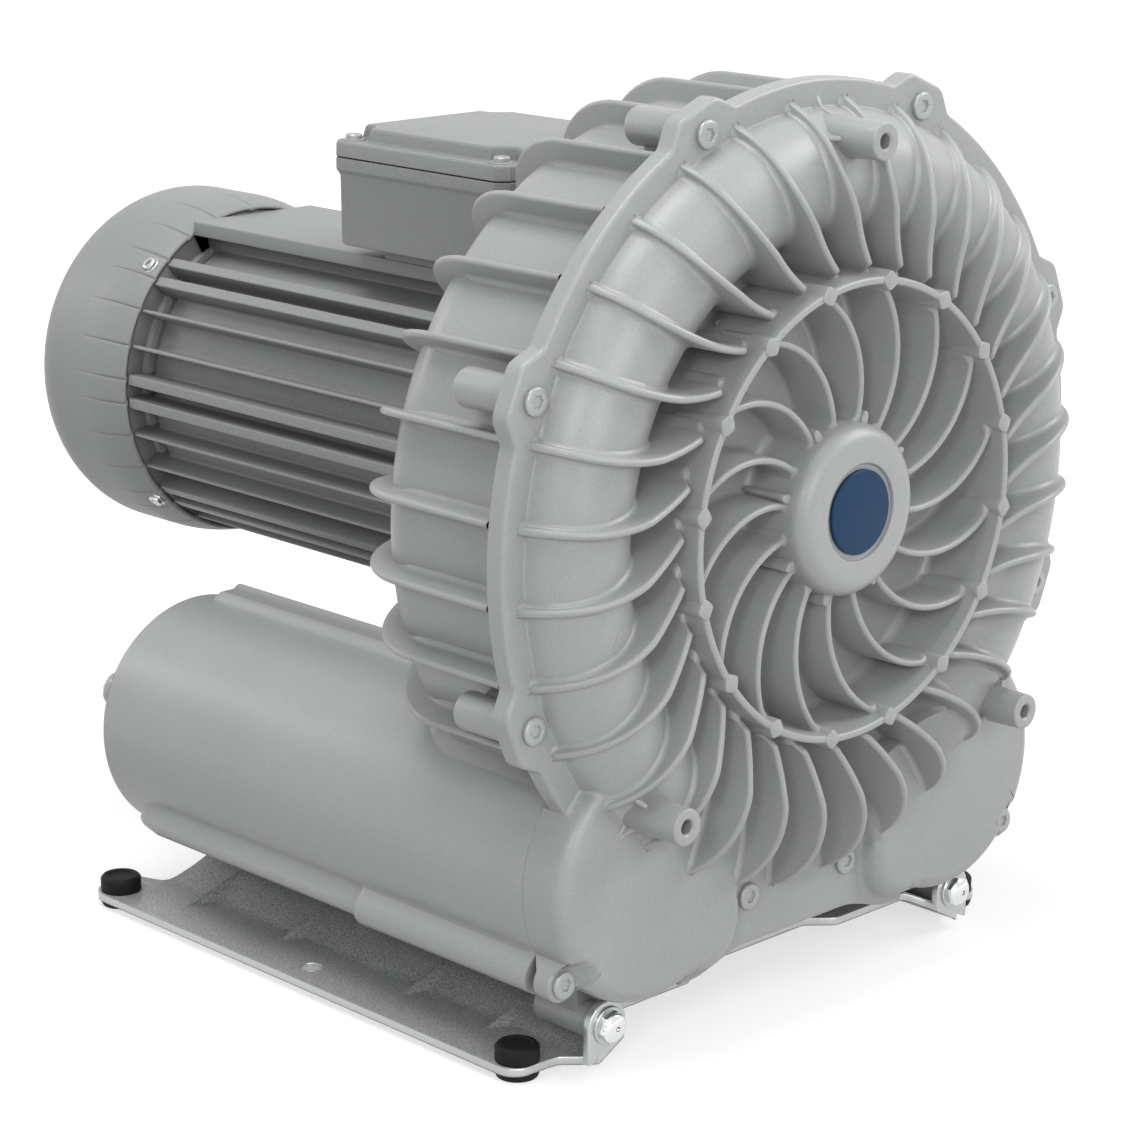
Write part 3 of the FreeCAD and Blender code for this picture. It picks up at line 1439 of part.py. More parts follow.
def terminal_box():
    """Box, gasket, lid and what is inside and on the side."""
    base = padded("terminal_box_base", "XY_Plane", d.pad_height, d.box_neck + 1.0, [
        (as_size(-40.0), box_front + 14.0),
        (as_size(40.0), box_front + 14.0),
        (as_size(40.0), box_rear - 14.0),
        (as_size(-40.0), box_rear - 14.0),
    ])
    add_pad(base, "XY_Plane", box_floor, d.box_height, box_plan(0.0))
    add_pocket(base, "XY_Plane", box_floor + d.box_wall, d.box_height, box_plan(d.box_wall))
    add_pad(base, "XY_Plane", box_floor, d.box_height,
            circles=[(x, y, as_size(5.8)) for x, y in lid_screw_spots()])
    add_pocket(base, "XY_Plane", box_floor + 18.0, d.box_height,
               circles=[(x, y, as_size(2.1)) for x, y in lid_screw_spots()])
    middle = box_front + d.box_length / 2
    add_pocket(base, "XY_Plane", d.pad_height - 1.0, d.box_neck + d.box_wall + 3.0,
               circles=[(ZERO, middle - 30.0, as_size(11.0))])
    add_pocket(base, "YZ_Plane", d.box_half_width - d.box_wall - 2.0, d.box_wall + 4.0,
               circles=[(y, gland_z, d.gland_bore + 0.3) for y in gland_spots])
    keep(base, "terminal_box_base")
    gasket = padded("lid_gasket", "XY_Plane", box_top, d.gasket_thickness, box_plan(1.0))
    add_pocket(gasket, "XY_Plane", box_top - 1.0, d.gasket_thickness + 2.0, box_plan(14.5))
    add_pocket(gasket, "XY_Plane", box_top - 1.0, d.gasket_thickness + 2.0,
               circles=[(x, y, as_size(2.5)) for x, y in lid_screw_spots()])
    keep(gasket, "lid_gasket")
    lid = padded("terminal_box_lid", "XY_Plane", gasket_top, d.lid_thickness, box_plan(0.0))
    add_pocket(lid, "XY_Plane", gasket_top, d.lid_thickness - 3.0, box_plan(14.5))
    x = d.box_half_width - 9.0
    step = 13.0
    front = box_front + 5.0
    rear = box_rear - 5.0
    add_pad(lid, "XY_Plane", lid_top, d.lid_crown, [
        (-x + step, front),
        (x - step, front),
        (x, front + step),
        (x, rear - step),
        (x - step, rear),
        (-x + step, rear),
        (-x, rear - step),
        (-x, front + step),
    ])
    add_pocket(lid, "XY_Plane", gasket_top - 1.0, d.lid_thickness + 2.0,
               circles=[(x, y, as_size(2.5)) for x, y in lid_screw_spots()])
    round_edges(lid, 2.5, flat_edge("Z", lid_top + d.lid_crown))
    keep(lid, "terminal_box_lid")
    screws = new_body("lid_screws")
    add_pad(screws, "XY_Plane", box_floor + 22.0, lid_top - box_floor - 22.0,
            circles=[(x, y, as_size(2.0)) for x, y in lid_screw_spots()])
    add_pad(screws, "XY_Plane", lid_top, as_size(3.0),
            circles=[(x, y, as_size(4.0)) for x, y in lid_screw_spots()])
    keep(screws, "lid_screws")
    inside = box_floor + d.box_wall
    block = padded("terminal_block", "XY_Plane", inside, as_size(10.0), [
        (as_size(-30.0), middle - 6.0),
        (as_size(30.0), middle - 6.0),
        (as_size(30.0), middle + 30.0),
        (as_size(-30.0), middle + 30.0),
    ])
    stud_spots = [(as_size(x), middle + y) for x in (-20.0, 0.0, 20.0) for y in (2.0, 22.0)]
    add_pocket(block, "XY_Plane", inside + 3.0, as_size(10.0),
               circles=[(x, y, as_size(2.55)) for x, y in stud_spots])
    keep(block, "terminal_block")
    studs = new_body("terminal_studs")
    add_pad(studs, "XY_Plane", inside + 3.0, as_size(18.0),
            circles=[(x, y, as_size(2.5)) for x, y in stud_spots])
    add_pad(studs, "XY_Plane", inside + 10.0, as_size(4.0),
            circles=[(x, y, as_size(4.6)) for x, y in stud_spots])
    keep(studs, "terminal_studs")
    earth = new_body("earth_screw")
    add_pad(earth, "XY_Plane", inside, as_size(7.0), circles=[
        (as_size(-36.0), middle - 30.0, as_size(2.5))])
    add_pad(earth, "XY_Plane", inside + 2.0, as_size(3.5), circles=[
        (as_size(-36.0), middle - 30.0, as_size(4.8))])
    keep(earth, "earth_screw")
    gland_set(gland_spots[0])
    plug = new_body("blanking_plug")
    wall_out = d.box_half_width
    add_pad(plug, "YZ_Plane", wall_out - 8.0, as_size(9.0), circles=[(gland_spots[1], gland_z, d.gland_bore)])
    add_pad(plug, "YZ_Plane", wall_out, as_size(5.0), hexagon(gland_spots[1], gland_z, 11.5))
    keep(plug, "blanking_plug")


def hexagon(x, y, radius):
    corners = []
    for number in range(6):
        corners.append((x + cosine(60.0 * number) * radius, y + sine(60.0 * number) * radius))
    return corners


def gland_set(y):
    """Cable gland on the box side: body, lock nut inside, seal and dome nut."""
    wall_out = d.box_half_width
    body = new_body("cable_gland_body")
    hole = as_size(5.5)
    add_pad(body, "YZ_Plane", wall_out - 10.0, as_size(12.0), circles=[(y, gland_z, d.gland_bore)])
    add_pad(body, "YZ_Plane", wall_out, as_size(5.5), hexagon(y, gland_z, 13.0))
    add_pad(body, "YZ_Plane", wall_out + 5.0, as_size(9.0), circles=[(y, gland_z, as_size(9.4))])
    add_pocket(body, "YZ_Plane", wall_out - 11.0, as_size(26.0), circles=[(y, gland_z, hole)])
    add_pocket(body, "YZ_Plane", wall_out + 6.5, as_size(9.0), circles=[(y, gland_z, as_size(8.0))])
    keep(body, "cable_gland_body")
    lock = new_body("cable_gland_locknut")
    add_pad(lock, "YZ_Plane", wall_out - d.box_wall - 5.0, as_size(5.0), hexagon(y, gland_z, 11.8))
    add_pocket(lock, "YZ_Plane", wall_out - d.box_wall - 6.0, as_size(7.0),
               circles=[(y, gland_z, d.gland_bore + 0.03)])
    keep(lock, "cable_gland_locknut")
    seal = new_body("cable_gland_seal")
    add_pad(seal, "YZ_Plane", wall_out + 6.6, as_size(10.0), circles=[(y, gland_z, as_size(7.8))])
    add_pocket(seal, "YZ_Plane", wall_out + 5.0, as_size(13.0), circles=[(y, gland_z, as_size(4.6))])
    keep(seal, "cable_gland_seal")
    nut = new_body("cable_gland_nut")
    add_pad(nut, "YZ_Plane", wall_out + 5.7, as_size(9.0), hexagon(y, gland_z, 12.6))
    add_pad(nut, "YZ_Plane", wall_out + 14.0, as_size(5.0), circles=[(y, gland_z, as_size(9.6))])
    add_pocket(nut, "YZ_Plane", wall_out + 4.0, as_size(10.2), circles=[(y, gland_z, as_size(9.45))])
    add_pocket(nut, "YZ_Plane", wall_out + 13.0, as_size(4.0), circles=[(y, gland_z, as_size(8.1))])
    add_pocket(nut, "YZ_Plane", wall_out + 16.0, as_size(4.0), circles=[(y, gland_z, as_size(5.6))])
    keep(nut, "cable_gland_nut")


end_shields()
stator()
fan_and_cowl()
terminal_box()

# Drum fittings


def drum_fittings():
    """Foam liners, mesh tubes and threaded port flanges at the rear of the drums."""
    bore = d.drum_radius - d.drum_wall
    rear = d.drum_length
    front = d.shell_length + 3.0
    for side, name in ((-1, "inlet"), (1, "outlet")):
        x = drum_x * side
        z = -d.drum_drop
        liner = padded(f"{name}_foam_liner", "XZ_Plane", front + 2.0, rear - front - 4.0, circles=[
            (x, z, bore - d.soft_gap), (x, z, d.liner_radius + d.tube_wall + d.soft_gap)])
        keep(liner, f"{name}_foam_liner")
        tube = padded(f"{name}_mesh_tube", "XZ_Plane", front, rear - front, circles=[
            (x, z, d.liner_radius + d.tube_wall), (x, z, d.liner_radius)])
        keep(tube, f"{name}_mesh_tube")
        gasket = padded(f"{name}_gasket", "XZ_Plane", rear, d.gasket_thickness, circles=[
            (x, z, d.drum_radius - 2.0), (x, z, d.port_radius + 2.0)])
        keep(gasket, f"{name}_gasket")
        start = rear + d.gasket_thickness
        flange = padded(f"{name}_port_flange", "XZ_Plane", start, d.port_flange_thickness - 4.0,
                        circles=[(x, z, d.drum_radius)])
        add_pad(flange, "XZ_Plane", start, d.port_flange_thickness + d.port_collar_length,
                circles=[(x, z, d.port_radius + 9.0)])
        spots = port_screw_spots(x, z)
        add_pad(flange, "XZ_Plane", start, d.port_flange_thickness - 4.0,
                circles=[(px, pz, as_size(7.5)) for px, pz in spots])
        add_pocket(flange, "XZ_Plane", start - 1.0, d.port_flange_thickness + d.port_collar_length + 2.0,
                   circles=[(x, z, d.port_radius)])
        add_pocket(flange, "XZ_Plane", start - 1.0, d.port_flange_thickness,
                   circles=[(px, pz, as_size(2.8)) for px, pz in spots])
        keep(flange, f"{name}_port_flange")
    screws = new_body("port_screws")
    for side in (-1, 1):
        for px, pz in port_screw_spots(drum_x * side, -d.drum_drop):
            head = rear + d.gasket_thickness + d.port_flange_thickness - 4.0
            add_pad(screws, "XZ_Plane", rear - 12.0, head - rear + 12.0, circles=[(px, pz, as_size(2.5))])
            add_pad(screws, "XZ_Plane", head, as_size(4.0), circles=[(px, pz, as_size(4.6))])
    keep(screws, "port_screws")


drum_fittings()

# Base

tab_back = -d.tab_front + d.plate_thickness
foot_spots = (
    ("foot_front_left", -1, d.foot_front),
    ("foot_front_right", 1, d.foot_front),
    ("foot_rear_left", -1, d.foot_front + d.foot_pitch),
    ("foot_rear_right", 1, d.foot_front + d.foot_pitch),
)


def slope_strip(side, inner, outer):
    """Section of the plate between two distances from the middle on its slope."""
    def low(x):
        share = (d.rise_outer - x) / (d.rise_outer - d.rise_inner)
        return plate_low + d.plate_rise * share
    return [
        (inner * side, low(inner)),
        (outer * side, low(outer)),
        (outer * side, low(outer) + d.plate_thickness),
        (inner * side, low(inner) + d.plate_thickness),
    ]


def base_plate():
    """Bent steel plate with ears for the feet, fixing holes and two upright tabs."""
    outer = d.plate_half_width
    thick = d.plate_thickness
    rear = d.foot_front + d.foot_pitch + 12.0
    plate = padded("base_plate", "XZ_Plane", d.plate_front, rear - d.plate_front, [
        (-outer, plate_low),
        (-d.rise_outer, plate_low),
        (-d.rise_inner, plate_low + d.plate_rise),
        (d.rise_inner, plate_low + d.plate_rise),
        (d.rise_outer, plate_low),
        (outer, plate_low),
        (outer, plate_low + thick),
        (d.rise_outer - 1.0, plate_low + thick),
        (d.rise_inner - 1.0, plate_low + thick + d.plate_rise),
        (-d.rise_inner + 1.0, plate_low + thick + d.plate_rise),
        (-d.rise_outer + 1.0, plate_low + thick),
        (-outer, plate_low + thick),
    ])
    for side in (-1, 1):
        add_pad(plate, "XZ_Plane", -d.tab_front, d.plate_front + d.tab_front,
                slope_strip(side, d.base_bolt_x - 11.6, d.base_bolt_x + 5.0))
        x = d.base_bolt_x * side
        z = -d.base_bolt_drop
        half = 11.6
        add_pad(plate, "XZ_Plane", -d.tab_front, thick, [
            (x - half * side, plate_low + 8.2),
            (x - half * side, z, (x, z, -side)),
            (x + half * side, z),
            (x + half * side, plate_low),
            (x + (half - 6.6) * side, plate_low),
        ])
    low = plate_low - 1.0
    deep = d.plate_rise + thick + 2.0
    add_pocket(plate, "XY_Plane", low, deep, [
        (-d.foot_x + 20.0, rear + 1.0),
        (-d.foot_x + 24.0, rear - 18.0),
        (-d.rise_inner + 4.0, d.plate_rear),
        (d.rise_inner - 4.0, d.plate_rear),
        (d.foot_x - 24.0, rear - 18.0),
        (d.foot_x - 20.0, rear + 1.0),
    ])
    add_pocket(plate, "XY_Plane", low, deep, [
        (as_size(-52.0), d.plate_front - 1.0),
        (as_size(52.0), d.plate_front - 1.0),
        (as_size(40.0), d.plate_front + 11.0),
        (as_size(-40.0), d.plate_front + 11.0),
    ])
    spots = []
    for name, side, y in foot_spots:
        spots.append((d.foot_x * side, y, d.foot_neck))
    for side in (-1, 1):
        spots.append((d.fixing_x * side, d.foot_front + d.foot_pitch / 2, d.fixing_radius))
    add_pocket(plate, "XY_Plane", low, as_size(8.0), circles=spots)
    add_pocket(plate, "XY_Plane", low, deep, circles=[
        ((drum_x - 12.0) * side, d.plate_rear - 20.0, as_size(4.5)) for side in (-1, 1)])
    add_pocket(plate, "XZ_Plane", -d.tab_front - 1.0, thick + 2.0, circles=[
        (d.base_bolt_x * side, -d.base_bolt_drop, as_size(4.5)) for side in (-1, 1)])
    doc.recompute()

    def ear_corner(edge):
        box = edge.BoundBox
        upright = box.ZLength > 3.0 and box.XLength < 0.01 and box.YLength < 0.01
        at_side = abs(abs(box.XMin) - outer.value) < 0.01
        return upright and at_side
    round_edges(plate, 11.0, ear_corner)
    keep(plate, "base_plate")


def feet_and_bolts():
    floor = -d.axis_height
    for name, side, y in foot_spots:
        x = d.foot_x * side
        foot = padded(name, "XY_Plane", floor, d.plate_clear, circles=[(x, y, d.foot_radius)])
        add_pad(foot, "XY_Plane", floor, d.foot_height, circles=[(x, y, d.foot_neck - 0.1)])
        add_pad(foot, "XY_Plane", plate_top, d.foot_height - d.plate_clear - d.plate_thickness,
                circles=[(x, y, d.foot_radius)])
        keep(foot, name)
    bolts = new_body("base_bolts")
    washers = new_body("base_washers")
    for side in (-1, 1):
        x = d.base_bolt_x * side
        z = -d.base_bolt_drop
        head = -d.tab_front - 1.6
        add_pad(washers, "XZ_Plane", head, as_size(1.6), circles=[
            (x, z, as_size(9.0)), (x, z, as_size(4.3))])
        add_pad(bolts, "XZ_Plane", head, as_size(26.0), circles=[(x, z, d.base_bolt_radius - 0.05)])
        add_pad(bolts, "XZ_Plane", head - 5.3, as_size(5.3), hexagon(x, z, 7.5))
    keep(bolts, "base_bolts")
    keep(washers, "base_washers")
    screws = new_body("base_rear_screws")
    for side in (-1, 1):
        x = (drum_x - 12.0) * side
        y = d.plate_rear - 20.0
        under = rise_top - d.plate_thickness
        add_pad(screws, "XY_Plane", under - 5.3, as_size(5.3), hexagon(x, y, 7.5))
        add_pad(screws, "XY_Plane", under, as_size(15.0), circles=[(x, y, d.base_bolt_radius - 0.05)])
    keep(screws, "base_rear_screws")


base_plate()
feet_and_bolts()


def check_and_write():
    doc.recompute()
    for item in doc.Objects:
        if "Invalid" in item.State or "Error" in item.State:
            raise ValueError(f"{item.Name} is {item.State}")
    for name, piece in pieces.items():
        shape = piece.Shape
        if shape.isNull() or not shape.isValid():
            raise ValueError(f"{name} has no valid shape")
    os.makedirs("parts", exist_ok=True)
    for name, piece in pieces.items():
        piece.Shape.exportStep(f"parts/{name}.step")


check_and_write()
print(len(pieces), "pieces written")
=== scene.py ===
import json
import math

import bmesh
import bpy
import numpy as np
from mathutils import Matrix, Vector
from mathutils.geometry import delaunay_2d_cdt


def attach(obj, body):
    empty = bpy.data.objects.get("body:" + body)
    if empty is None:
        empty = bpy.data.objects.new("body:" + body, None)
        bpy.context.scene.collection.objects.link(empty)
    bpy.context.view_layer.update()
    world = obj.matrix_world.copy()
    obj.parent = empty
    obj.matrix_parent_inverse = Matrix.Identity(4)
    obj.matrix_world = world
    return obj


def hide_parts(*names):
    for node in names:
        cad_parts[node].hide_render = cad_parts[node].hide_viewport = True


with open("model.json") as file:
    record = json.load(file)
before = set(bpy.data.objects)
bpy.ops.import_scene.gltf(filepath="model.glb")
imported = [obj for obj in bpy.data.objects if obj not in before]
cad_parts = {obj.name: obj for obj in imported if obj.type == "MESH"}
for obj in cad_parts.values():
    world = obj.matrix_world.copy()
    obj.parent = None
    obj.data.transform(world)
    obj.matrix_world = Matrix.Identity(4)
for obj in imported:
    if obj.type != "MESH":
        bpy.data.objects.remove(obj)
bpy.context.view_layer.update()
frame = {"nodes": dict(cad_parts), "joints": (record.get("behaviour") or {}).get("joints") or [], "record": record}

nodes = frame["nodes"]
mm = 0.001

# Every piece is worked out in millimetres about the shaft: x to the right seen from the
# front, y along the shaft from the joint of cover and housing, z up. shaftPoint moves it
# to its place in the frame.
rotorJoint = next(j for j in frame["joints"] if j["name"] == "rotor_spin")
shaftPoint = np.array(rotorJoint["pos_m"], float)


def fromPolar(r, angle):
    return r * np.cos(np.radians(angle)), r * np.sin(np.radians(angle))


def swung(x, z, angle):
    # Points of the (x, z) plane turned about the shaft.
    return x * np.cos(angle) - z * np.sin(angle), x * np.sin(angle) + z * np.cos(angle)


def wrapped(angle):
    return (angle + np.pi) % (2 * np.pi) - np.pi


# Meshes

def gridQuads(rows, cols, closeRows=False, closeCols=False, flip=False):
    # Quads between neighbouring points of a rows by cols grid.
    i = np.arange(rows if closeRows else rows - 1)[:, None]
    j = np.arange(cols if closeCols else cols - 1)[None, :]
    i2 = (i + 1) % rows
    j2 = (j + 1) % cols
    quads = np.stack([i * cols + j, i * cols + j2, i2 * cols + j2, i2 * cols + j], -1)
    quads = quads.reshape(-1, 4)
    return quads[:, ::-1] if flip else quads


def gridPart(points, closeRows=False, closeCols=False, flip=False):
    # A part of a mesh from an array of points, rows by columns by 3.
    rows, cols = points.shape[:2]
    return points.reshape(-1, 3), gridQuads(rows, cols, closeRows, closeCols, flip)


weld = 2e-6


def newObject(name, data):
    thing = bpy.data.objects.new(name, data)
    bpy.context.scene.collection.objects.link(thing)
    return thing


def makePiece(name, parts, look, node="", crisp=0.0):
    # Joins parts of points and quads into one mesh at its place in the frame. Edges sharper
    # than the angle crisp stay crisp under smooth shading.
    points = []
    faces = []
    count = 0
    for verts, quads in parts:
        points.append(np.asarray(verts, float))
        faces.extend((np.asarray(quads) + count).tolist())
        count += len(verts)
    co = np.concatenate(points) * mm + shaftPoint
    mesh = bpy.data.meshes.new(name)
    mesh.from_pydata(co.tolist(), [], faces)
    work = bmesh.new()
    work.from_mesh(mesh)
    bmesh.ops.remove_doubles(work, verts=work.verts, dist=weld)
    bmesh.ops.dissolve_degenerate(work, edges=work.edges, dist=weld)
    work.to_mesh(mesh)
    work.free()
    mesh.polygons.foreach_set("use_smooth", [True] * len(mesh.polygons))
    piece = newObject(name, mesh)
    mesh.materials.append(finishes[look])
    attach(piece, "casing")
    if node:
        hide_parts(node)
    if crisp:
        mesh.set_sharp_from_angle(angle=math.radians(crisp))
    return piece


def roundedLine(corners, steps=6):
    # A line through corners (a, b, radius), with an arc of that radius at each one.
    points = []
    last = len(corners) - 1
    for k, corner in enumerate(corners):
        here = np.array(corner[:2], float)
        radius = corner[2] if len(corner) > 2 else 0.0
        if radius <= 0 or k in (0, last):
            points.append(here)
            continue
        before = np.array(corners[k - 1][:2], float) - here
        after = np.array(corners[k + 1][:2], float) - here
        lb, la = np.linalg.norm(before), np.linalg.norm(after)
        before, after = before / lb, after / la
        half = math.acos(float(np.clip(before @ after, -1, 1))) / 2
        if half > math.pi / 2 - 0.01:
            points.append(here)
            continue
        reach = min(radius / math.tan(half), lb * 0.49, la * 0.49)
        radius = reach * math.tan(half)
        middle = here + (before + after) / np.linalg.norm(before + after) * radius / math.sin(half)
        start, stop = here + before * reach - middle, here + after * reach - middle
        a0 = math.atan2(start[1], start[0])
        sweep = wrapped(math.atan2(stop[1], stop[0]) - a0)
        for t in np.linspace(0, 1, steps + 1):
            points.append(middle + radius * np.array([math.cos(a0 + sweep * t), math.sin(a0 + sweep * t)]))
    return np.array(points)


def roundedLoop(corners, steps=6):
    # The same for a closed line.
    return roundedLine([corners[-1]] + list(corners) + [corners[0]], steps)[1:-1]


def densify(line, step):
    # Adds points where a stretch of a line is longer than step.
    dense = [line[0]]
    for a, b in zip(line[:-1], line[1:]):
        count = max(1, int(np.linalg.norm(b - a) / step))
        dense.extend(a + (b - a) * t for t in np.linspace(0, 1, count + 1)[1:])
    return np.array(dense)


def outward(loop):
    # Signed area of a closed line, and its outward normals.
    ahead = np.roll(loop, -1, 0) - np.roll(loop, 1, 0)
    normal = np.stack([ahead[:, 1], -ahead[:, 0]], 1) / np.linalg.norm(ahead, axis=1)[:, None]
    area = np.sum(loop[:, 0] * np.roll(loop[:, 1], -1) - loop[:, 1] * np.roll(loop[:, 0], -1))
    return area, normal if area > 0 else -normal


def turnedGrid(line, columns, centre=(0.0, 0.0)):
    # A line (radius, y) turned about an axis along y: x = r cos a, z = r sin a.
    angle = np.linspace(0, 2 * np.pi, columns, endpoint=False)
    r, y = line[:, 0][:, None], line[:, 1][:, None]
    x = centre[0] + r * np.cos(angle)
    z = centre[1] + r * np.sin(angle)
    return np.stack([x, y + 0 * x, z], -1)


def turnedPart(line, columns=96, centre=(0.0, 0.0), flip=False):
    return gridPart(turnedGrid(line, columns, centre), closeCols=True, flip=flip)


def uprightPart(line, columns, centre):
    # A line (radius, height) turned about an upright axis at centre (x, y).
    angle = np.linspace(0, 2 * np.pi, columns, endpoint=False)
    r, z = line[:, 0][:, None], line[:, 1][:, None]
    x = centre[0] + r * np.cos(angle)
    y = centre[1] + r * np.sin(angle)
    return gridPart(np.stack([x, y, z + 0 * x], -1), closeCols=True)


def smoothMax(a, b, blend):
    # The larger of two heights, with a rounded join of width blend.
    near = np.maximum(blend - np.abs(a - b), 0.0)
    return np.maximum(a, b) + near * near / (4 * blend)


def rise(value, low, high):
    # 0 below low, 1 above high and a soft s-curve between.
    t = np.clip((value - low) / (high - low), 0, 1)
    return t * t * (3 - 2 * t)


# Materials

def addNode(tree, kind, inputs=(), **settings):
    # A shader node with its settings and its input values, each by name or number.
    node = tree.nodes.new("ShaderNode" + kind)
    for key, value in settings.items():
        setattr(node, key, value)
    for key, value in dict(inputs).items():
        node.inputs[key].default_value = value
    return node


def noiseMask():
    # Group: cast skin. Fine speckle and soft clouds from object coordinates.
    group = bpy.data.node_groups.new("castSkin", "ShaderNodeTree")
    for name, value in (("Speckle Size", 900.0), ("Cloud Size", 14.0)):
        socket = group.interface.new_socket(name, in_out="INPUT", socket_type="NodeSocketFloat")
        socket.default_value = value
    for name in ("Speckle", "Cloud", "Height"):
        group.interface.new_socket(name, in_out="OUTPUT", socket_type="NodeSocketFloat")
    entry = group.nodes.new("NodeGroupInput")
    out = group.nodes.new("NodeGroupOutput")
    place = addNode(group, "TexCoord")
    speckle = addNode(group, "TexNoise", {"Detail": 3.0, "Roughness": 0.65})
    cloud = addNode(group, "TexNoise", {"Detail": 4.0})
    grain = addNode(group, "TexNoise", {"Detail": 1.0})
    half = addNode(group, "Math", {1: 0.35}, operation="MULTIPLY")
    mix = addNode(group, "Math", {1: 0.6}, operation="MULTIPLY_ADD")
    link = group.links.new
    for node in (speckle, cloud, grain):
        link(place.outputs["Object"], node.inputs["Vector"])
    link(entry.outputs["Speckle Size"], speckle.inputs["Scale"])
    link(entry.outputs["Cloud Size"], cloud.inputs["Scale"])
    link(entry.outputs["Speckle Size"], half.inputs[0])
    link(half.outputs[0], grain.inputs["Scale"])
    link(speckle.outputs["Fac"], mix.inputs[0])
    link(grain.outputs["Fac"], mix.inputs[2])
    link(speckle.outputs["Fac"], out.inputs["Speckle"])
    link(cloud.outputs["Fac"], out.inputs["Cloud"])
    link(mix.outputs[0], out.inputs["Height"])
    return group


castSkin = noiseMask()


def ramp(tree, source, low, high, lowColour, highColour):
    node = addNode(tree, "ValToRGB")
    for end, at, colour in zip(node.color_ramp.elements, (low, high), (lowColour, highColour)):
        end.position = at
        end.color = (*colour, 1)
    tree.links.new(source, node.inputs[0])
    return node.outputs["Color"]


def multiplied(tree, a, b):
    node = addNode(tree, "Mix", data_type="RGBA", blend_type="MULTIPLY")
    node.inputs["Factor"].default_value = 1.0
    tree.links.new(a, node.inputs["A"])
    tree.links.new(b, node.inputs["B"])
    return node.outputs["Result"]


def finish(name, look):
    # A finish from its dictionary: two tones of one colour, a roughness range, a bump and
    #     # painted shade, a darker tone in narrow gaps and recesses where shade would fall.
    material = bpy.data.materials.new(name)
    material.use_nodes = True
    tree = material.node_tree
    link = tree.links.new
    shader = tree.nodes["Principled BSDF"]
    skin = addNode(tree, "Group", {"Speckle Size": look.get("speckleSize", 900.0)}, node_tree=castSkin)
    colour = np.array(look["colour"], float)
    spread = look.get("spread", 0.05)
    tone = ramp(tree, skin.outputs["Speckle"], 0.35, 0.68, colour * (1 - spread), colour * (1 + spread))
    cloud = ramp(tree, skin.outputs["Cloud"], 0.3, 0.7, [1 - look.get("cloud", 0.04)] * 3, [1.0] * 3)
    tinted = multiplied(tree, tone, cloud)
    if "paintedShade" in look:
        # painted shade: ambient occlusion darkens the colour in recesses and gaps
        gap = addNode(tree, "AmbientOcclusion", {"Distance": look["paintedShadeReach"]}, samples=6)
        paintedShadeTone = ramp(tree, gap.outputs["AO"], 0.25, 0.95, [1 - look["paintedShade"]] * 3, [1.0] * 3)
        tinted = multiplied(tree, tinted, paintedShadeTone)
    link(tinted, shader.inputs["Base Color"])
    low, high = look["roughness"]
    gloss = addNode(tree, "MapRange", {"To Min": low, "To Max": high})
    link(skin.outputs["Cloud"], gloss.inputs["Value"])
    link(gloss.outputs["Result"], shader.inputs["Roughness"])
    shader.inputs["Metallic"].default_value = look.get("metallic", 0.0)
    shader.inputs["Specular IOR Level"].default_value = look.get("specular", 0.5)
    if "bump" in look:
        bump = addNode(tree, "Bump", {"Strength": look["bump"], "Distance": look.get("depth", 0.0001)})
        link(skin.outputs["Height"], bump.inputs["Height"])
        link(bump.outputs["Normal"], shader.inputs["Normal"])
    return material
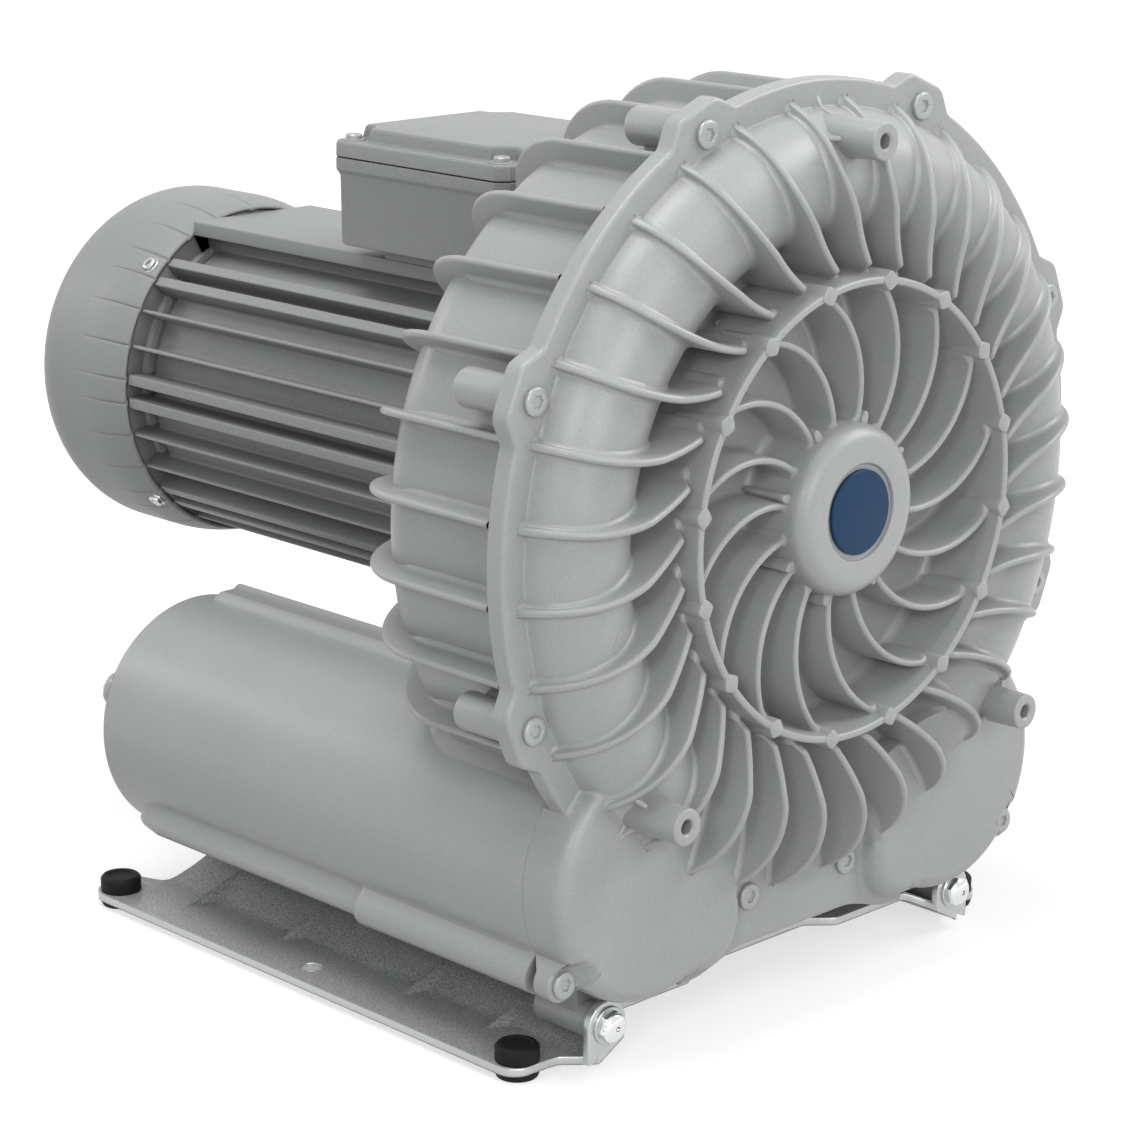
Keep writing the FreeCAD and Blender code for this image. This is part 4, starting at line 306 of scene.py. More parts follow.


# Where a look has a shade amount, its colour is darkened in recesses: painted shade.
looks = {
    "greyCasting": {"colour": (0.362, 0.370, 0.365), "spread": 0.06, "cloud": 0.05,
                    "roughness": (0.34, 0.41), "specular": 0.6, "bump": 0.18, "speckleSize": 850.0,
                    "paintedShade": 0.12, "paintedShadeReach": 0.014},
    "motorSheet": {"colour": (0.30, 0.307, 0.303), "spread": 0.06, "roughness": (0.44, 0.52),
                   "specular": 0.4, "bump": 0.14, "speckleSize": 1000.0},
    "motorPaint": {"colour": (0.285, 0.292, 0.288), "spread": 0.08, "cloud": 0.05,
                   "roughness": (0.44, 0.52), "specular": 0.4, "bump": 0.2, "speckleSize": 850.0,
                   "paintedShade": 0.5, "paintedShadeReach": 0.018},
    "navyBadge": {"colour": (0.006, 0.036, 0.092), "spread": 0.02, "roughness": (0.42, 0.5),
                  "specular": 0.2},
    "zincSteel": {"colour": (0.52, 0.53, 0.53), "metallic": 1.0, "roughness": (0.26, 0.4), "spread": 0.08},
    "brightSteel": {"colour": (0.78, 0.79, 0.8), "metallic": 1.0, "roughness": (0.08, 0.16),
                    "spread": 0.03},
    "paintedScrew": {"colour": (0.40, 0.41, 0.405), "metallic": 0.3, "roughness": (0.3, 0.4),
                     "spread": 0.06},
    "bearingSteel": {"colour": (0.55, 0.55, 0.56), "metallic": 1.0, "roughness": (0.12, 0.2)},
    "bareAluminium": {"colour": (0.7, 0.7, 0.71), "metallic": 1.0, "roughness": (0.35, 0.5),
                      "spread": 0.08, "bump": 0.2},
    "lamination": {"colour": (0.16, 0.16, 0.17), "metallic": 0.8, "roughness": (0.4, 0.55), "spread": 0.1},
    "copperWire": {"colour": (0.45, 0.17, 0.07), "metallic": 0.7, "roughness": (0.3, 0.4), "spread": 0.12},
    "blackRubber": {"colour": (0.005, 0.005, 0.005), "roughness": (0.6, 0.75), "spread": 0.2,
                    "bump": 0.25, "specular": 0.25},
    "blackPlastic": {"colour": (0.02, 0.02, 0.021), "roughness": (0.4, 0.5), "spread": 0.1, "bump": 0.15},
    "greyPlastic": {"colour": (0.22, 0.225, 0.23), "roughness": (0.4, 0.5), "spread": 0.06, "bump": 0.12},
    "openFoam": {"colour": (0.03, 0.03, 0.032), "roughness": (0.8, 0.95), "spread": 0.5, "bump": 0.9,
                 "depth": 0.001, "speckleSize": 300.0},
    "brassStud": {"colour": (0.6, 0.42, 0.16), "metallic": 1.0, "roughness": (0.2, 0.3)},
    "darkSheet": {"colour": (0.4, 0.405, 0.41), "metallic": 0.15, "roughness": (0.36, 0.5),
                  "spread": 0.45, "cloud": 0.12, "bump": 0.3, "speckleSize": 1100.0},
    "cutSteel": {"colour": (0.56, 0.57, 0.57), "metallic": 0.7, "roughness": (0.3, 0.42), "spread": 0.06},
}
finishes = {name: finish(name, look) for name, look in looks.items()}
slotFinish = {
    "grey_casting": "greyCasting", "grey_sheet": "motorSheet", "blue_badge": "navyBadge",
    "zinc_steel": "zincSteel", "bright_steel": "brightSteel", "bearing_steel": "bearingSteel",
    "wheel_aluminium": "bareAluminium", "lamination": "lamination", "copper_wire": "copperWire",
    "black_rubber": "blackRubber", "black_plastic": "blackPlastic", "grey_plastic": "greyPlastic",
    "foam": "openFoam", "brass": "brassStud", "base_steel": "darkSheet",
}
for part in frame["record"]["subparts"]:
    piece = nodes[part["node"]]
    piece.data.materials.clear()
    piece.data.materials.append(finishes[slotFinish[part["material_slot"]]])
print("finishes made:", len(finishes))


# Cover

cover = {
    "jointFlange": 14.6, "flangeBack": 5.4, "flangeRadius": 190.0, "boltCircle": 186.0, "lugReach": 198.0,
    "torusCentre": 149.0, "torusBase": 8.0, "torusRadius": 29.0, "stopAngle": 35.0,
    "crevice": 6.5, "ringRadius": 104.0, "ringHalf": 1.75, "ringTop": 47.0,
    "floor": 13.5, "hubRadius": 39.5, "hubTop": 47.0,
    "drumX": 103.0, "drumZ": -151.0, "drumRadius": 60.3, "capTop": 24.0, "capRound": 7.0,
    "capWall": 46.5, "capKnee": -178.0, "capLow": -207.5, "skinStart": 113.0, "padRadius": 8.8,
    "ribHalf": 1.75, "ribRoot": 2.6, "ribStraight": 171.6, "ribTurn": 120.64, "ribEnd": 183.5,
    "standoffCircle": 166.3, "standoffRadius": 8.8, "standoffTop": 54.4,
}
lugAngles = (-22.5, 22.5, 67.5, 112.5, 157.5, 202.5)
ribAngles = 5.625 + 11.25 * np.arange(32)
innerAngles = 14.06 + 22.5 * np.arange(16)
lowScrews = ((-153.1, -191.6), (153.1, -191.6), (-34.0, -182.0), (34.0, -182.0))


def insideLug(x, z, angle):
    # How far inside a bolt lug a point is. The lug is a plate with sloping shoulders.
    c, s = math.cos(math.radians(angle)), math.sin(math.radians(angle))
    along = x * c + z * s
    across = np.abs(-x * s + z * c)
    tip = cover["lugReach"] - along
    slope = (cover["lugReach"] + 12.0 - along - across) * 0.707
    return np.minimum(-smoothMax(-tip, -slope, 2.2), along - 160.0)


def insideCap(x, z):
    # How far inside one of the drum fronts a point is.
    px = np.abs(x)
    circle = cover["drumRadius"] - np.hypot(px - cover["drumX"], z - cover["drumZ"])
    # the side towards the middle is a plate edge: upright below, leaning outward above
    lean = math.radians(17.2)
    upright = px - cover["capWall"]
    wall = upright * math.cos(lean) + (cover["capKnee"] - z) * math.sin(lean)
    inner = np.where(z < cover["capKnee"], upright, wall)
    lower = -smoothMax(-inner, cover["capLow"] - z, 24.0)
    plate = -smoothMax(-lower, px - cover["drumX"] - 6.0, 2.0)
    plate = np.minimum(plate, -100.0 - z)
    reach = (cover["drumX"] + 18.0 - px) * 0.75 + (-98.0 - z) * 0.66
    return np.maximum(circle, np.minimum(plate, reach + 6.0))


def insidePanel(x, z):
    # How far inside the plate between the drum fronts a point is.
    bottom = -206.0 - 8.0 * rise(np.abs(x), 34.0, 72.0)
    return np.minimum(z - bottom, np.minimum(78.0 - np.abs(x), -120.0 - z))


def roundedStep(inside, top, radius, drop):
    # A plateau whose edge is rounded, then falls away steeply outside.
    s = np.clip(inside, 0, radius)
    edge = top - radius + np.sqrt(np.maximum(radius * radius - (radius - s) ** 2, 0))
    return np.where(inside >= 0, edge, edge + inside * drop)


def plateauHeight(x, z):
    # Front of flange, lugs, plate and drum fronts, without the channel bulge.
    r = np.hypot(x, z)
    top = cover["jointFlange"]
    flange = roundedStep(cover["flangeRadius"] - r, top, 1.8, 6.0)
    for angle in lugAngles:
        flange = np.maximum(flange, roundedStep(insideLug(x, z, angle), top, 1.8, 6.0))
    flange = np.maximum(flange, roundedStep(insidePanel(x, z), top, 1.8, 6.0))
    for sx, sz in lowScrews[:2]:
        pad = cover["padRadius"] - np.hypot(x - sx, z - sz)
        flange = np.maximum(flange, roundedStep(pad, top, 1.5, 6.0))
    cap = roundedStep(insideCap(x, z), cover["capTop"], cover["capRound"], 3.0)
    for sx, sz in lowScrews[:2]:
        hole = np.hypot(x - sx, z - sz) - 8.0
        cap = -smoothMax(-cap, -(top + np.maximum(hole, 0) * 2.0), 1.6)
    return smoothMax(cap, flange, 2.6)


def bulgeHeight(r):
    # Front of the ring channel: an arc about its own centre, carried on steeply below it.
    reach = cover["torusRadius"]
    d = np.abs(r - cover["torusCentre"])
    flat = np.minimum(d, reach * 0.985)
    arc = cover["torusBase"] + np.sqrt(reach * reach - flat * flat)
    return arc - np.maximum(d - reach * 0.985, 0) * 6.0


def skinHeight(x, z):
    # The cover's front skin outside the ring: bulge, crevice and plateau, softly joined.
    r = np.hypot(x, z)
    inner = np.where(r < cover["torusCentre"], cover["crevice"], -50.0)
    outer = np.where(r > cover["torusCentre"] - 8.0, plateauHeight(x, z), -50.0)
    bulge = bulgeHeight(r)
    skin = np.where(r < cover["torusCentre"], smoothMax(bulge, inner, 5.0), bulge)
    skin = np.where(r < cover["torusCentre"] - 8.0, skin, smoothMax(skin, outer, 3.2))
    # between the drums the channel stops: a flat floor, blended over some degrees
    away = np.degrees(np.abs(np.arctan2(x, -z)))
    share = 1 - rise(away, cover["stopAngle"] - 5.0, cover["stopAngle"] + 5.0)
    slope = cover["crevice"] + (cover["jointFlange"] - cover["crevice"]) * rise(r, 116.0, 141.0)
    floor = np.where(r < cover["torusCentre"] - 8.0, slope, outer)
    return skin + (floor - skin) * share


def insideCover(x, z):
    # How far inside the cover's whole outline a point is.
    inside = cover["flangeRadius"] - np.hypot(x, z)
    for angle in lugAngles:
        inside = np.maximum(inside, insideLug(x, z, angle))
    inside = np.maximum(inside, np.maximum(insidePanel(x, z), insideCap(x, z)))
    for sx, sz in lowScrews[:2]:
        inside = np.maximum(inside, cover["padRadius"] - np.hypot(x - sx, z - sz))
    return inside


def coverOutline(angles):
    # Outer radius of the cover along each ray, by walking inwards to the outline.
    r = np.linspace(255.0, 170.0, 700)
    x = r[:, None] * np.cos(angles)
    z = r[:, None] * np.sin(angles)
    inside = insideCover(x, z)
    first = np.argmax(inside > 0, axis=0)
    column = np.arange(len(angles))
    a, b = inside[first - 1, column], inside[first, column]
    return r[first - 1] + (r[first] - r[first - 1]) * (-a / (b - a))


def coverSkin():
    # Front skin and side wall on a polar grid: rows follow the bulge, then the outline.
    side = np.radians(np.arange(-34.0, 214.0, 0.6))
    near = np.concatenate([np.arange(228.6, 234.2, 0.12), np.arange(305.8, 311.4, 0.12)])
    low = np.radians(np.unique(np.round(np.concatenate([np.arange(214.0, 326.0, 0.3), near]), 3)))
    angles = np.concatenate([side, low])
    outline = coverOutline(angles)
    inner = cover["skinStart"] + 7.0 * np.linspace(0, 1, 6)[:, None]
    arc = cover["torusCentre"] - 28.9 * np.cos(np.linspace(0.03, 2.5, 40))[:, None]
    start = arc[-1]
    band = 7.5
    edge = band * (1 - np.sin(np.linspace(0, np.pi / 2, 9))[:, None])
    middle = np.linspace(0, 1, 44)[1:-1, None]
    rows = [inner + 0 * outline, arc + 0 * outline,
            start + (outline - band - start) * middle, outline - edge]
    r = np.concatenate(rows)
    x, z = r * np.cos(angles), r * np.sin(angles)
    y = -skinHeight(x, z)
    wall = np.linspace(1, 0, 4)[1:, None]
    x, z = (np.concatenate([v, v[-1:] + 0 * wall]) for v in (x, z))
    thick = np.maximum(insideCap(x[-1], z[-1]), insidePanel(x[-1], z[-1])) > -1.0
    behind = np.where(thick, 0.0, -cover["flangeBack"])
    y = np.concatenate([y, behind + (y[-1:] - behind) * wall])
    back = cover["skinStart"] / np.hypot(x[-1], z[-1])
    x, z = (np.concatenate([v, v[-1:] * back]) for v in (x, z))
    y = np.concatenate([y, y[-1:]])
    return gridPart(np.stack([x, y, z], -1), closeCols=True, flip=True)


def hubAndRing():
    # Hub, floor and raised ring as one turned line, closed behind.
    c = cover
    line = roundedLine([
        (0, -c["hubTop"] + 2.0), (21.9, -c["hubTop"] + 2.0, 0.6), (22.4, -c["hubTop"], 0.7),
        (c["hubRadius"] - 0.6, -c["hubTop"], 8.5), (c["hubRadius"] + 1.5, -c["floor"], 5.0),
        (c["ringRadius"] - 4.5, -c["floor"], 5.0),
        (c["ringRadius"] - c["ringHalf"], -c["ringTop"], 1.4),
        (c["ringRadius"] + c["ringHalf"], -c["ringTop"], 1.4),
        (c["ringRadius"] + 4.0, -c["crevice"], 3.5), (c["skinStart"], -c["crevice"]),
        (c["skinStart"], 0.0), (0, 0),
    ], 7)
    return turnedPart(line, 288, flip=True)


def ribStrips(path, top, half, root, bottom):
    # Ribs as a profile carried along paths. path holds x and z, ribs by points; the profile
    # goes from the skin up a root fillet, the wall, over a round top and down again.
    x, z = path
    tx = np.gradient(x, axis=1)
    tz = np.gradient(z, axis=1)
    length = np.hypot(tx, tz)
    nx, nz = -tz / length, tx / length
    a = np.linspace(0, np.pi / 2, 4)
    foot = np.stack([1 - np.sin(a), 1 - np.cos(a)], 1)
    crest = np.linspace(0, np.pi, 7)
    half = half + 0 * x
    ground = bottom(x, z)
    tall = np.maximum(top - ground, 0.05)
    size = np.minimum(root, tall * 0.55)
    cap = np.minimum(half, tall * 0.4)
    columns = []
    draft = 0.012 * tall
    sunk = 0.15
    for side in (-1, 1):
        order = foot if side < 0 else foot[::-1]
        for spread, up in order:
            off = side * (half + draft + size * spread)
            height = bottom(x + nx * off, z + nz * off) + size * up - sunk * (up == 0)
            columns.append((x + nx * off, -height, z + nz * off))
        if side < 0:
            for t in crest:
                off = -np.cos(t) * half
                columns.append((x + nx * off, -(top - cap + cap * np.sin(t)), z + nz * off))
    points = np.stack([np.stack(c, -1) for c in columns], 2)
    count, steps, across = points.shape[:3]
    quads = gridQuads(steps, across, flip=True)
    ends = []
    for k in (0, steps - 1):
        ring = k * across + np.arange(across // 2)
        mate = k * across + across - 1 - np.arange(across // 2)
        closing = np.stack([ring[:-1], ring[1:], mate[1:], mate[:-1]], 1)
        ends.append(closing if k == 0 else closing[:, ::-1])
    faces = np.concatenate([quads] + ends)
    offset = (np.arange(count) * steps * across)[:, None, None]
    return points.reshape(-1, 3), (faces[None] + offset).reshape(-1, 4)


def outerRibTop(r):
    # Height of the outer ribs' crest: an arc up from the flange, a slope to the ring and a
    # small step down just before it.
    u = np.maximum(r / 1.04, 130.0)
    arc = 45.0 - (47.7 - np.sqrt(np.maximum(48.0 ** 2 - (u - 130.0) ** 2, 0)))
    slope = 45.3 - (130.0 - np.minimum(r / 1.04, 130.0)) * 4.8 / 28.0
    height = np.where(r > 135.2, arc, slope) * 1.04
    return height - 5.0 * (1 - rise(r, 107.5, 111.0))


def outerRibs():
    # Plan of a rib: straight from the flange, then a tangent arc that turns clockwise.
    straight, turn = cover["ribStraight"], cover["ribTurn"]
    along = np.linspace(straight - cover["ribEnd"], turn * 0.622, 46)
    phi = np.maximum(along, 0) / turn
    px = np.where(along < 0, straight - along, straight - turn * np.sin(phi))
    pz = np.where(along < 0, 0.0, -turn * (1 - np.cos(phi)))
    x, z = swung(px, pz, np.radians(ribAngles)[:, None])
    r = np.hypot(x, z)
    ring = cover["ringRadius"] + cover["ringHalf"] + 0.8
    flare = np.clip(2.2 - (r - ring), 0, 2.2)
    half = cover["ribHalf"] + 2.2 - np.sqrt(2.2 ** 2 - flare ** 2)
    return ribStrips((x, z), outerRibTop(r), half, cover["ribRoot"], skinHeight)


def innerRibs():
    # Bowed ribs from the ring's nodes to the hub.
    bow, cx, cz = 53.6, 60.3, 31.0
    start = math.atan2(-cz, 104.0 - cx)
    stop = math.atan2(-17.2 - cz, 35.5 - cx)
    if stop > start:
        stop -= 2 * math.pi
    t = np.linspace(start, stop, 34)
    px, pz = cx + bow * np.cos(t), cz + bow * np.sin(t)
    x, z = swung(px, pz, np.radians(innerAngles)[:, None])
    r = np.hypot(x, z)
    top = np.interp(r, (39.4, 104.0), (37.3, 41.4))
    flare = np.clip(2.0 - (r - cover["hubRadius"] - 0.8), 0, 2.0)
    flare2 = np.clip(2.0 - (cover["ringRadius"] - 3.0 - r), 0, 2.0)
    half = cover["ribHalf"] - 0.1 + 2.0 - np.sqrt(4.0 - np.maximum(flare, flare2) ** 2)
    return ribStrips((x, z), top, half, cover["ribRoot"], lambda a, b: cover["floor"] + 0 * a)


def pegs(centres, shape, top, bottom):
    # Upright pads along y: an outline (x, z) round each centre, a rounded front edge.
    edge = 0.7
    ox, oz = shape(np.linspace(0, 2 * np.pi, 24, endpoint=False))
    size = float(np.max(np.hypot(ox, oz)))
    parts = []
    for cx, cz, turnBy in centres:
        x, z = swung(ox, oz, turnBy)
        rings = []
        for scale, h in ((0.0, top), (1 - edge / size, top), (1 - 0.3 * edge / size, top - edge * 0.3),
                         (1.0, top - edge), (1.0, bottom)):
            rings.append(np.stack([cx + x * scale, 0 * x - h, cz + z * scale], -1))
        parts.append(gridPart(np.stack(rings), closeCols=True, flip=True))
    return parts


def ringNodes():
    # Small lozenge pads on the ring, one for each inner rib.
    spots = [(*fromPolar(cover["ringRadius"], a), math.radians(a)) for a in innerAngles]

    def lozenge(t):
        r = 4.6 / (np.abs(np.cos(t)) ** 1.25 + np.abs(np.sin(t)) ** 1.25) ** (1 / 1.25)
        return r * np.cos(t), r * np.sin(t) * 1.15
    return pegs(spots, lozenge, cover["ringTop"] + 0.5, 20.0)


def hubPads():
    # Flat pads where every other inner rib meets the hub.
    spots = [(*fromPolar(cover["hubRadius"] + 1.1, a), math.radians(a)) for a in innerAngles[::2] - 30.0]

    def leaf(t):
        return 4.2 * np.cos(t), 2.2 * np.sin(t)
    return pegs(spots, leaf, 38.2, 14.0)


def standoffs():
    # Three round posts with a tapped hole, a rim chamfer and small webs at the foot.
    c = cover
    parts = []
    top = -c["standoffTop"]
    for angle in (90.0, 225.0, 315.0):
        x, z = fromPolar(c["standoffCircle"], angle)
        line = roundedLine([
            (0.0, top + 17.0), (3.3, top + 16.0), (3.3, top + 0.9, 0.2), (4.2, top, 0.2),
            (c["standoffRadius"] - 0.4, top, 0.9), (c["standoffRadius"] + 0.3, -30.0),
            (c["standoffRadius"] + 0.6, -14.0), (c["standoffRadius"] + 0.6, -8.0), (0, -8.0),
        ], 4)
        parts.append(turnedPart(line, 64, (x, z), flip=True))
        for turnBy, reach in ((angle + 90.0, 6.2), (angle - 90.0, 6.2), (angle, 6.0)):
            parts.append(footWeb((x, z), turnBy, reach))
    return parts


def footWeb(centre, turnBy, reach):
    # A low triangular web between a post and the skin.
    s = np.linspace(0, 1, 9)[None, :]
    dx, dz = fromPolar(cover["standoffRadius"] - 2.0 + (reach + 3.5) * s, turnBy)
    x, z = centre[0] + dx, centre[1] + dz
    ground = skinHeight(x, z)
    top = np.maximum(ground + 7.0 * (1 - s) ** 1.3, ground + 0.1)
    return ribStrips((x, z), top, 1.2, 1.4, skinHeight)


def castingMarks():
    # Faint round marks of the mould's ejector pins on the bulge, as very low discs.
    parts = []
    for angle in ribAngles[::4] + 8.625:
        cx, cz = fromPolar(143.0, angle)
        t = np.linspace(0, 2 * np.pi, 48, endpoint=False)
        rings = []
        for radius, lift in ((0.0, 0.26), (4.0, 0.26), (7.2, 0.26), (7.5, 0.2), (7.65, -0.1)):
            x, z = cx + radius * np.cos(t), cz + radius * np.sin(t)
            rings.append(np.stack([x, -(skinHeight(x, z) + lift), z], -1))
        parts.append(gridPart(np.stack(rings), closeCols=True))
    return parts


def frontCover():
    parts = [coverSkin(), hubAndRing(), outerRibs(), innerRibs()]
    parts += ringNodes() + hubPads() + standoffs() + castingMarks()
    piece = makePiece("frontCover", parts, "greyCasting", "front_cover", 50.0)
    print("cover made:", len(piece.data.polygons), "faces")
    line = roundedLine([(0, -46.9), (19.0, -46.9, 0.5), (19.5, -46.4, 0.2), (19.5, -45.0), (0, -45.0)], 3)
    makePiece("hubBadge", [turnedPart(line, 96, flip=True)], "navyBadge", "hub_badge", 35.0)


frontCover()


# Housing behind the cover

housing = {
    "shellRadius": 173.7, "shellLength": 87.4, "shellCorner": 31.0,
    "finTip": 186.2, "finRear": 101.0, "finCorner": 44.0, "finHalf": 1.7, "finRoot": 3.2,
    "spigot": 88.0, "length": 99.0, "bossRadius": 8.8, "bossLength": 27.0,
    "drumLength": 302.0, "drumEdge": 1.8, "drumBlend": 16.0, "railTop": 65.8, "beadRadius": 6.0,
    "baseBossX": 121.7, "baseBossZ": -221.0,
}


def drumReach(angle):
    # Outer crossing of a ray from the shaft with the nearer drum, falling away steeply
    # where the ray misses it.
    d = math.hypot(cover["drumX"], cover["drumZ"])
    middle = np.arctan2(cover["drumZ"], np.where(np.cos(angle) < 0, -cover["drumX"], cover["drumX"]))
    off = np.abs(np.sin(angle - middle)) * d
    ahead = np.cos(angle - middle)
    r = cover["drumRadius"] - 0.35
    far = d * ahead + np.sqrt(np.maximum(r * r - off * off, 0))
    return np.where(ahead > 0, far - np.maximum(off - r, 0) * 7.0, -500.0)


def housingShell():
    # The turned shell, with its radius softly joined to the drums: r = smooth larger of
    # the profile's radius and the ray's crossing with the drum.
    h = housing
    line = roundedLine([
        (178.0, -cover["flangeBack"]), (178.0, 3.0, 2.0), (h["shellRadius"], 6.5, 4.0),
        (h["shellRadius"], h["shellLength"], h["shellCorner"]),
        (126.0, h["shellLength"], 8.0), (112.0, 73.4, 9.0), (90.5, 64.0, 5.0),
        (h["spigot"], h["length"], 1.5), (0.0, h["length"]),
    ], 14)
    line = densify(line, 5.0)
    angle = np.radians(np.arange(0, 360, 1.0))
    r = line[:, 0][:, None] + 0 * angle
    y = line[:, 1][:, None] + 0 * angle
    joined = smoothMax(r, np.minimum(drumReach(angle), 214.0), h["drumBlend"])
    r = np.where(line[:, 0][:, None] > 128.0, joined, r)
    points = np.stack([r * np.cos(angle), y, r * np.sin(angle)], -1)
    front = points[:1] * np.array([0.0, 1.0, 0.0])
    return gridPart(np.concatenate([front, points]), closeCols=True)


def housingFins():
    # Fins between two lines of the (r, y) plane: the root on the shell and the tip. Across
    # the fin the profile is root fillet, wall with draft, round tip, wall, fillet.
    h = housing
    c, k = h["finCorner"], h["shellCorner"]
    turn = np.linspace(0, np.pi / 2, 16)
    straight = np.linspace(0, 1, 12)
    rootR = np.concatenate([np.full(12, h["shellRadius"]),
                            h["shellRadius"] - k + k * np.cos(turn[1:]),
                            np.array([134.0, 126.0, 119.0, 112.0, 100.0, 89.0])])
    rootY = np.concatenate([straight * (h["shellLength"] - k),
                            h["shellLength"] - k + k * np.sin(turn[1:]),
                            np.array([87.4, 86.0, 80.4, 74.0, 68.5, 65.0])])
    tipR = np.concatenate([np.full(12, h["finTip"]), h["finTip"] - c + c * np.cos(turn[1:]),
                           np.array([134.0, 125.0, 116.0, 107.0, 97.0, 88.5])])
    tipY = np.concatenate([straight * (h["finRear"] - c),
                           h["finRear"] - c + c * np.sin(turn[1:]),
                           np.array([99.2, 97.0, 94.4, 90.6, 84.0, 76.5])])
    reach = np.hypot(tipR - rootR, tipY - rootY)
    ux, uy = (tipR - rootR) / reach, (tipY - rootY) / reach
    sunk = 1.2
    columns = []
    a = np.linspace(0, np.pi / 2, 5)
    half, root = h["finHalf"], h["finRoot"]
    for side in (-1, 1):
        order = a if side < 0 else a[::-1]
        for t in order:
            off = side * (half + 0.3 + root * (1 - np.sin(t)))
            q = root * (1 - np.cos(t)) - sunk * (t == 0)
            columns.append((q + 0 * reach, off + 0 * reach))
        if side < 0:
            for t in np.linspace(0, np.pi, 7):
                columns.append((reach - half + half * np.sin(t), -np.cos(t) * half + 0 * reach))
    q = np.stack([col[0] for col in columns], 1)
    off = np.stack([col[1] for col in columns], 1)
    r = rootR[:, None] + ux[:, None] * q
    y = rootY[:, None] + uy[:, None] * q
    parts = []
    for angle in ribAngles:
        if 213 < angle < 327:
            continue
        x, z = swung(r, off, math.radians(angle))
        parts.append(gridPart(np.stack([x, y, z], -1)))
    return parts


def slab(outline, start, stop, edge=1.0, upright=False, startEdge=0.0):
    # A closed outline carried from start to stop along y, or along z where it is upright.
    # At a rounded end each point is set inwards by edge (1 - sin t) and back by
    # edge (1 - cos t).
    a = np.asarray(outline, float)
    area, normal = outward(a)
    way = 1.0 if stop > start else -1.0
    t = np.linspace(0, np.pi / 2, 4)
    cap = np.tile(a.mean(0), (len(a), 1))
    rings, places = [cap], [start]
    for v in t if startEdge else t[-1:]:
        rings.append(a - normal * startEdge * (1 - np.sin(v)))
        places.append(start + way * startEdge * (1 - np.cos(v)))
    for v in t[::-1] if edge else t[-1:]:
        rings.append(a - normal * edge * (1 - np.sin(v)))
        places.append(stop - way * edge * (1 - np.cos(v)))
    grid = np.stack(rings + [cap])
    height = np.array(places + [stop])[:, None] + 0 * grid[..., 0]
    order = (grid[..., 0], grid[..., 1], height) if upright else (grid[..., 0], height, grid[..., 1])
    return gridPart(np.stack(order, -1), closeCols=True, flip=((area > 0) == (way > 0)) == upright)


def postPart(x, z, radius, start, stop, edge, columns=40):
    # A round boss with a rounded rear rim.
    line = roundedLine([(0, start), (radius, start), (radius, stop, edge), (0, stop)], 5)
    return turnedPart(line, columns, (x, z))


def drumShape(side):
    # One drum about its own axis: r = smooth larger of the circle, the rail on top and the
    # bead below, each of them only on its own stretch of y.
    h = housing
    R = cover["drumRadius"]
    angle = np.radians(np.arange(0, 360, 1.5))
    y = np.unique(np.concatenate([
        np.array([0.0, 0.35, 0.9, 1.4]), np.linspace(2, 16, 4), np.linspace(17, 26, 9),
        np.linspace(30, 110, 10), np.linspace(111, 121, 11), np.linspace(125, 278, 16),
        np.linspace(280, 300, 21), np.linspace(h["drumLength"] - h["drumEdge"], h["drumLength"], 6)]))
    circle = np.full((len(y), len(angle)), R)
    groove = 0.7 * np.exp(-(y / 0.8) ** 2)
    circle = circle - groove[:, None]
    ax, az = np.cos(angle), np.sin(angle)
    # rail: a bar from x = -17 to x = -2 beside the drum's axis, with a lip along its far side
    off = ax * side
    flat = h["railTop"] / np.maximum(az, 0.05)
    top = flat + 2.2 * rise(-off * flat, 13.0, 14.2)
    inside = np.minimum(off * top + 17.0, -2.0 - off * top)
    low = R - 5.0
    rail = np.where(az > 0.6, low + (top - low) * rise(inside, -1.8, 1.2), low)
    span = rise(y, 18.0, 22.5) * (1 - rise(y, 283.0, 297.5))
    rail = low + (rail - low) * span[:, None]
    shape = smoothMax(circle, rail, 1.6)
    # bead: a small circle outside the drum
    middle = math.radians(-39.0 if side > 0 else -141.0)
    delta = wrapped(angle - middle)
    D = R + 4.2
    size = h["beadRadius"] + 2.8 * (1 - rise(y, 113.5, 118.0))
    size = size * np.sqrt(np.clip((285.0 - y) / 14.0, 0.0, 1.0))
    away = np.abs(np.sin(delta)) * D
    bead = D * np.cos(delta) + np.sqrt(np.maximum(size[:, None] ** 2 - away ** 2, 0))
    bead = bead - np.maximum(away - size[:, None], 0) * 3.0
    bead = np.where((np.abs(delta) < 0.6) & (y[:, None] < 284.9), bead, 0.0)
    shape = smoothMax(shape, bead, 3.4)
    # rear edge
    edge = h["drumEdge"]
    back = np.clip(y - h["drumLength"] + edge, 0, edge)
    shape = shape - (edge - np.sqrt(np.maximum(edge ** 2 - back ** 2, 0)))[:, None]
    x = cover["drumX"] * side + shape * ax
    z = cover["drumZ"] + shape * az
    body = np.stack([x, y[:, None] + 0 * x, z], -1)
    centre = np.array([cover["drumX"] * side, 0, cover["drumZ"]])
    front = centre + 0 * body[:1]
    back = centre + np.array([0, h["drumLength"], 0]) + 0 * body[:1]
    return gridPart(np.concatenate([front, body, back]), closeCols=True)


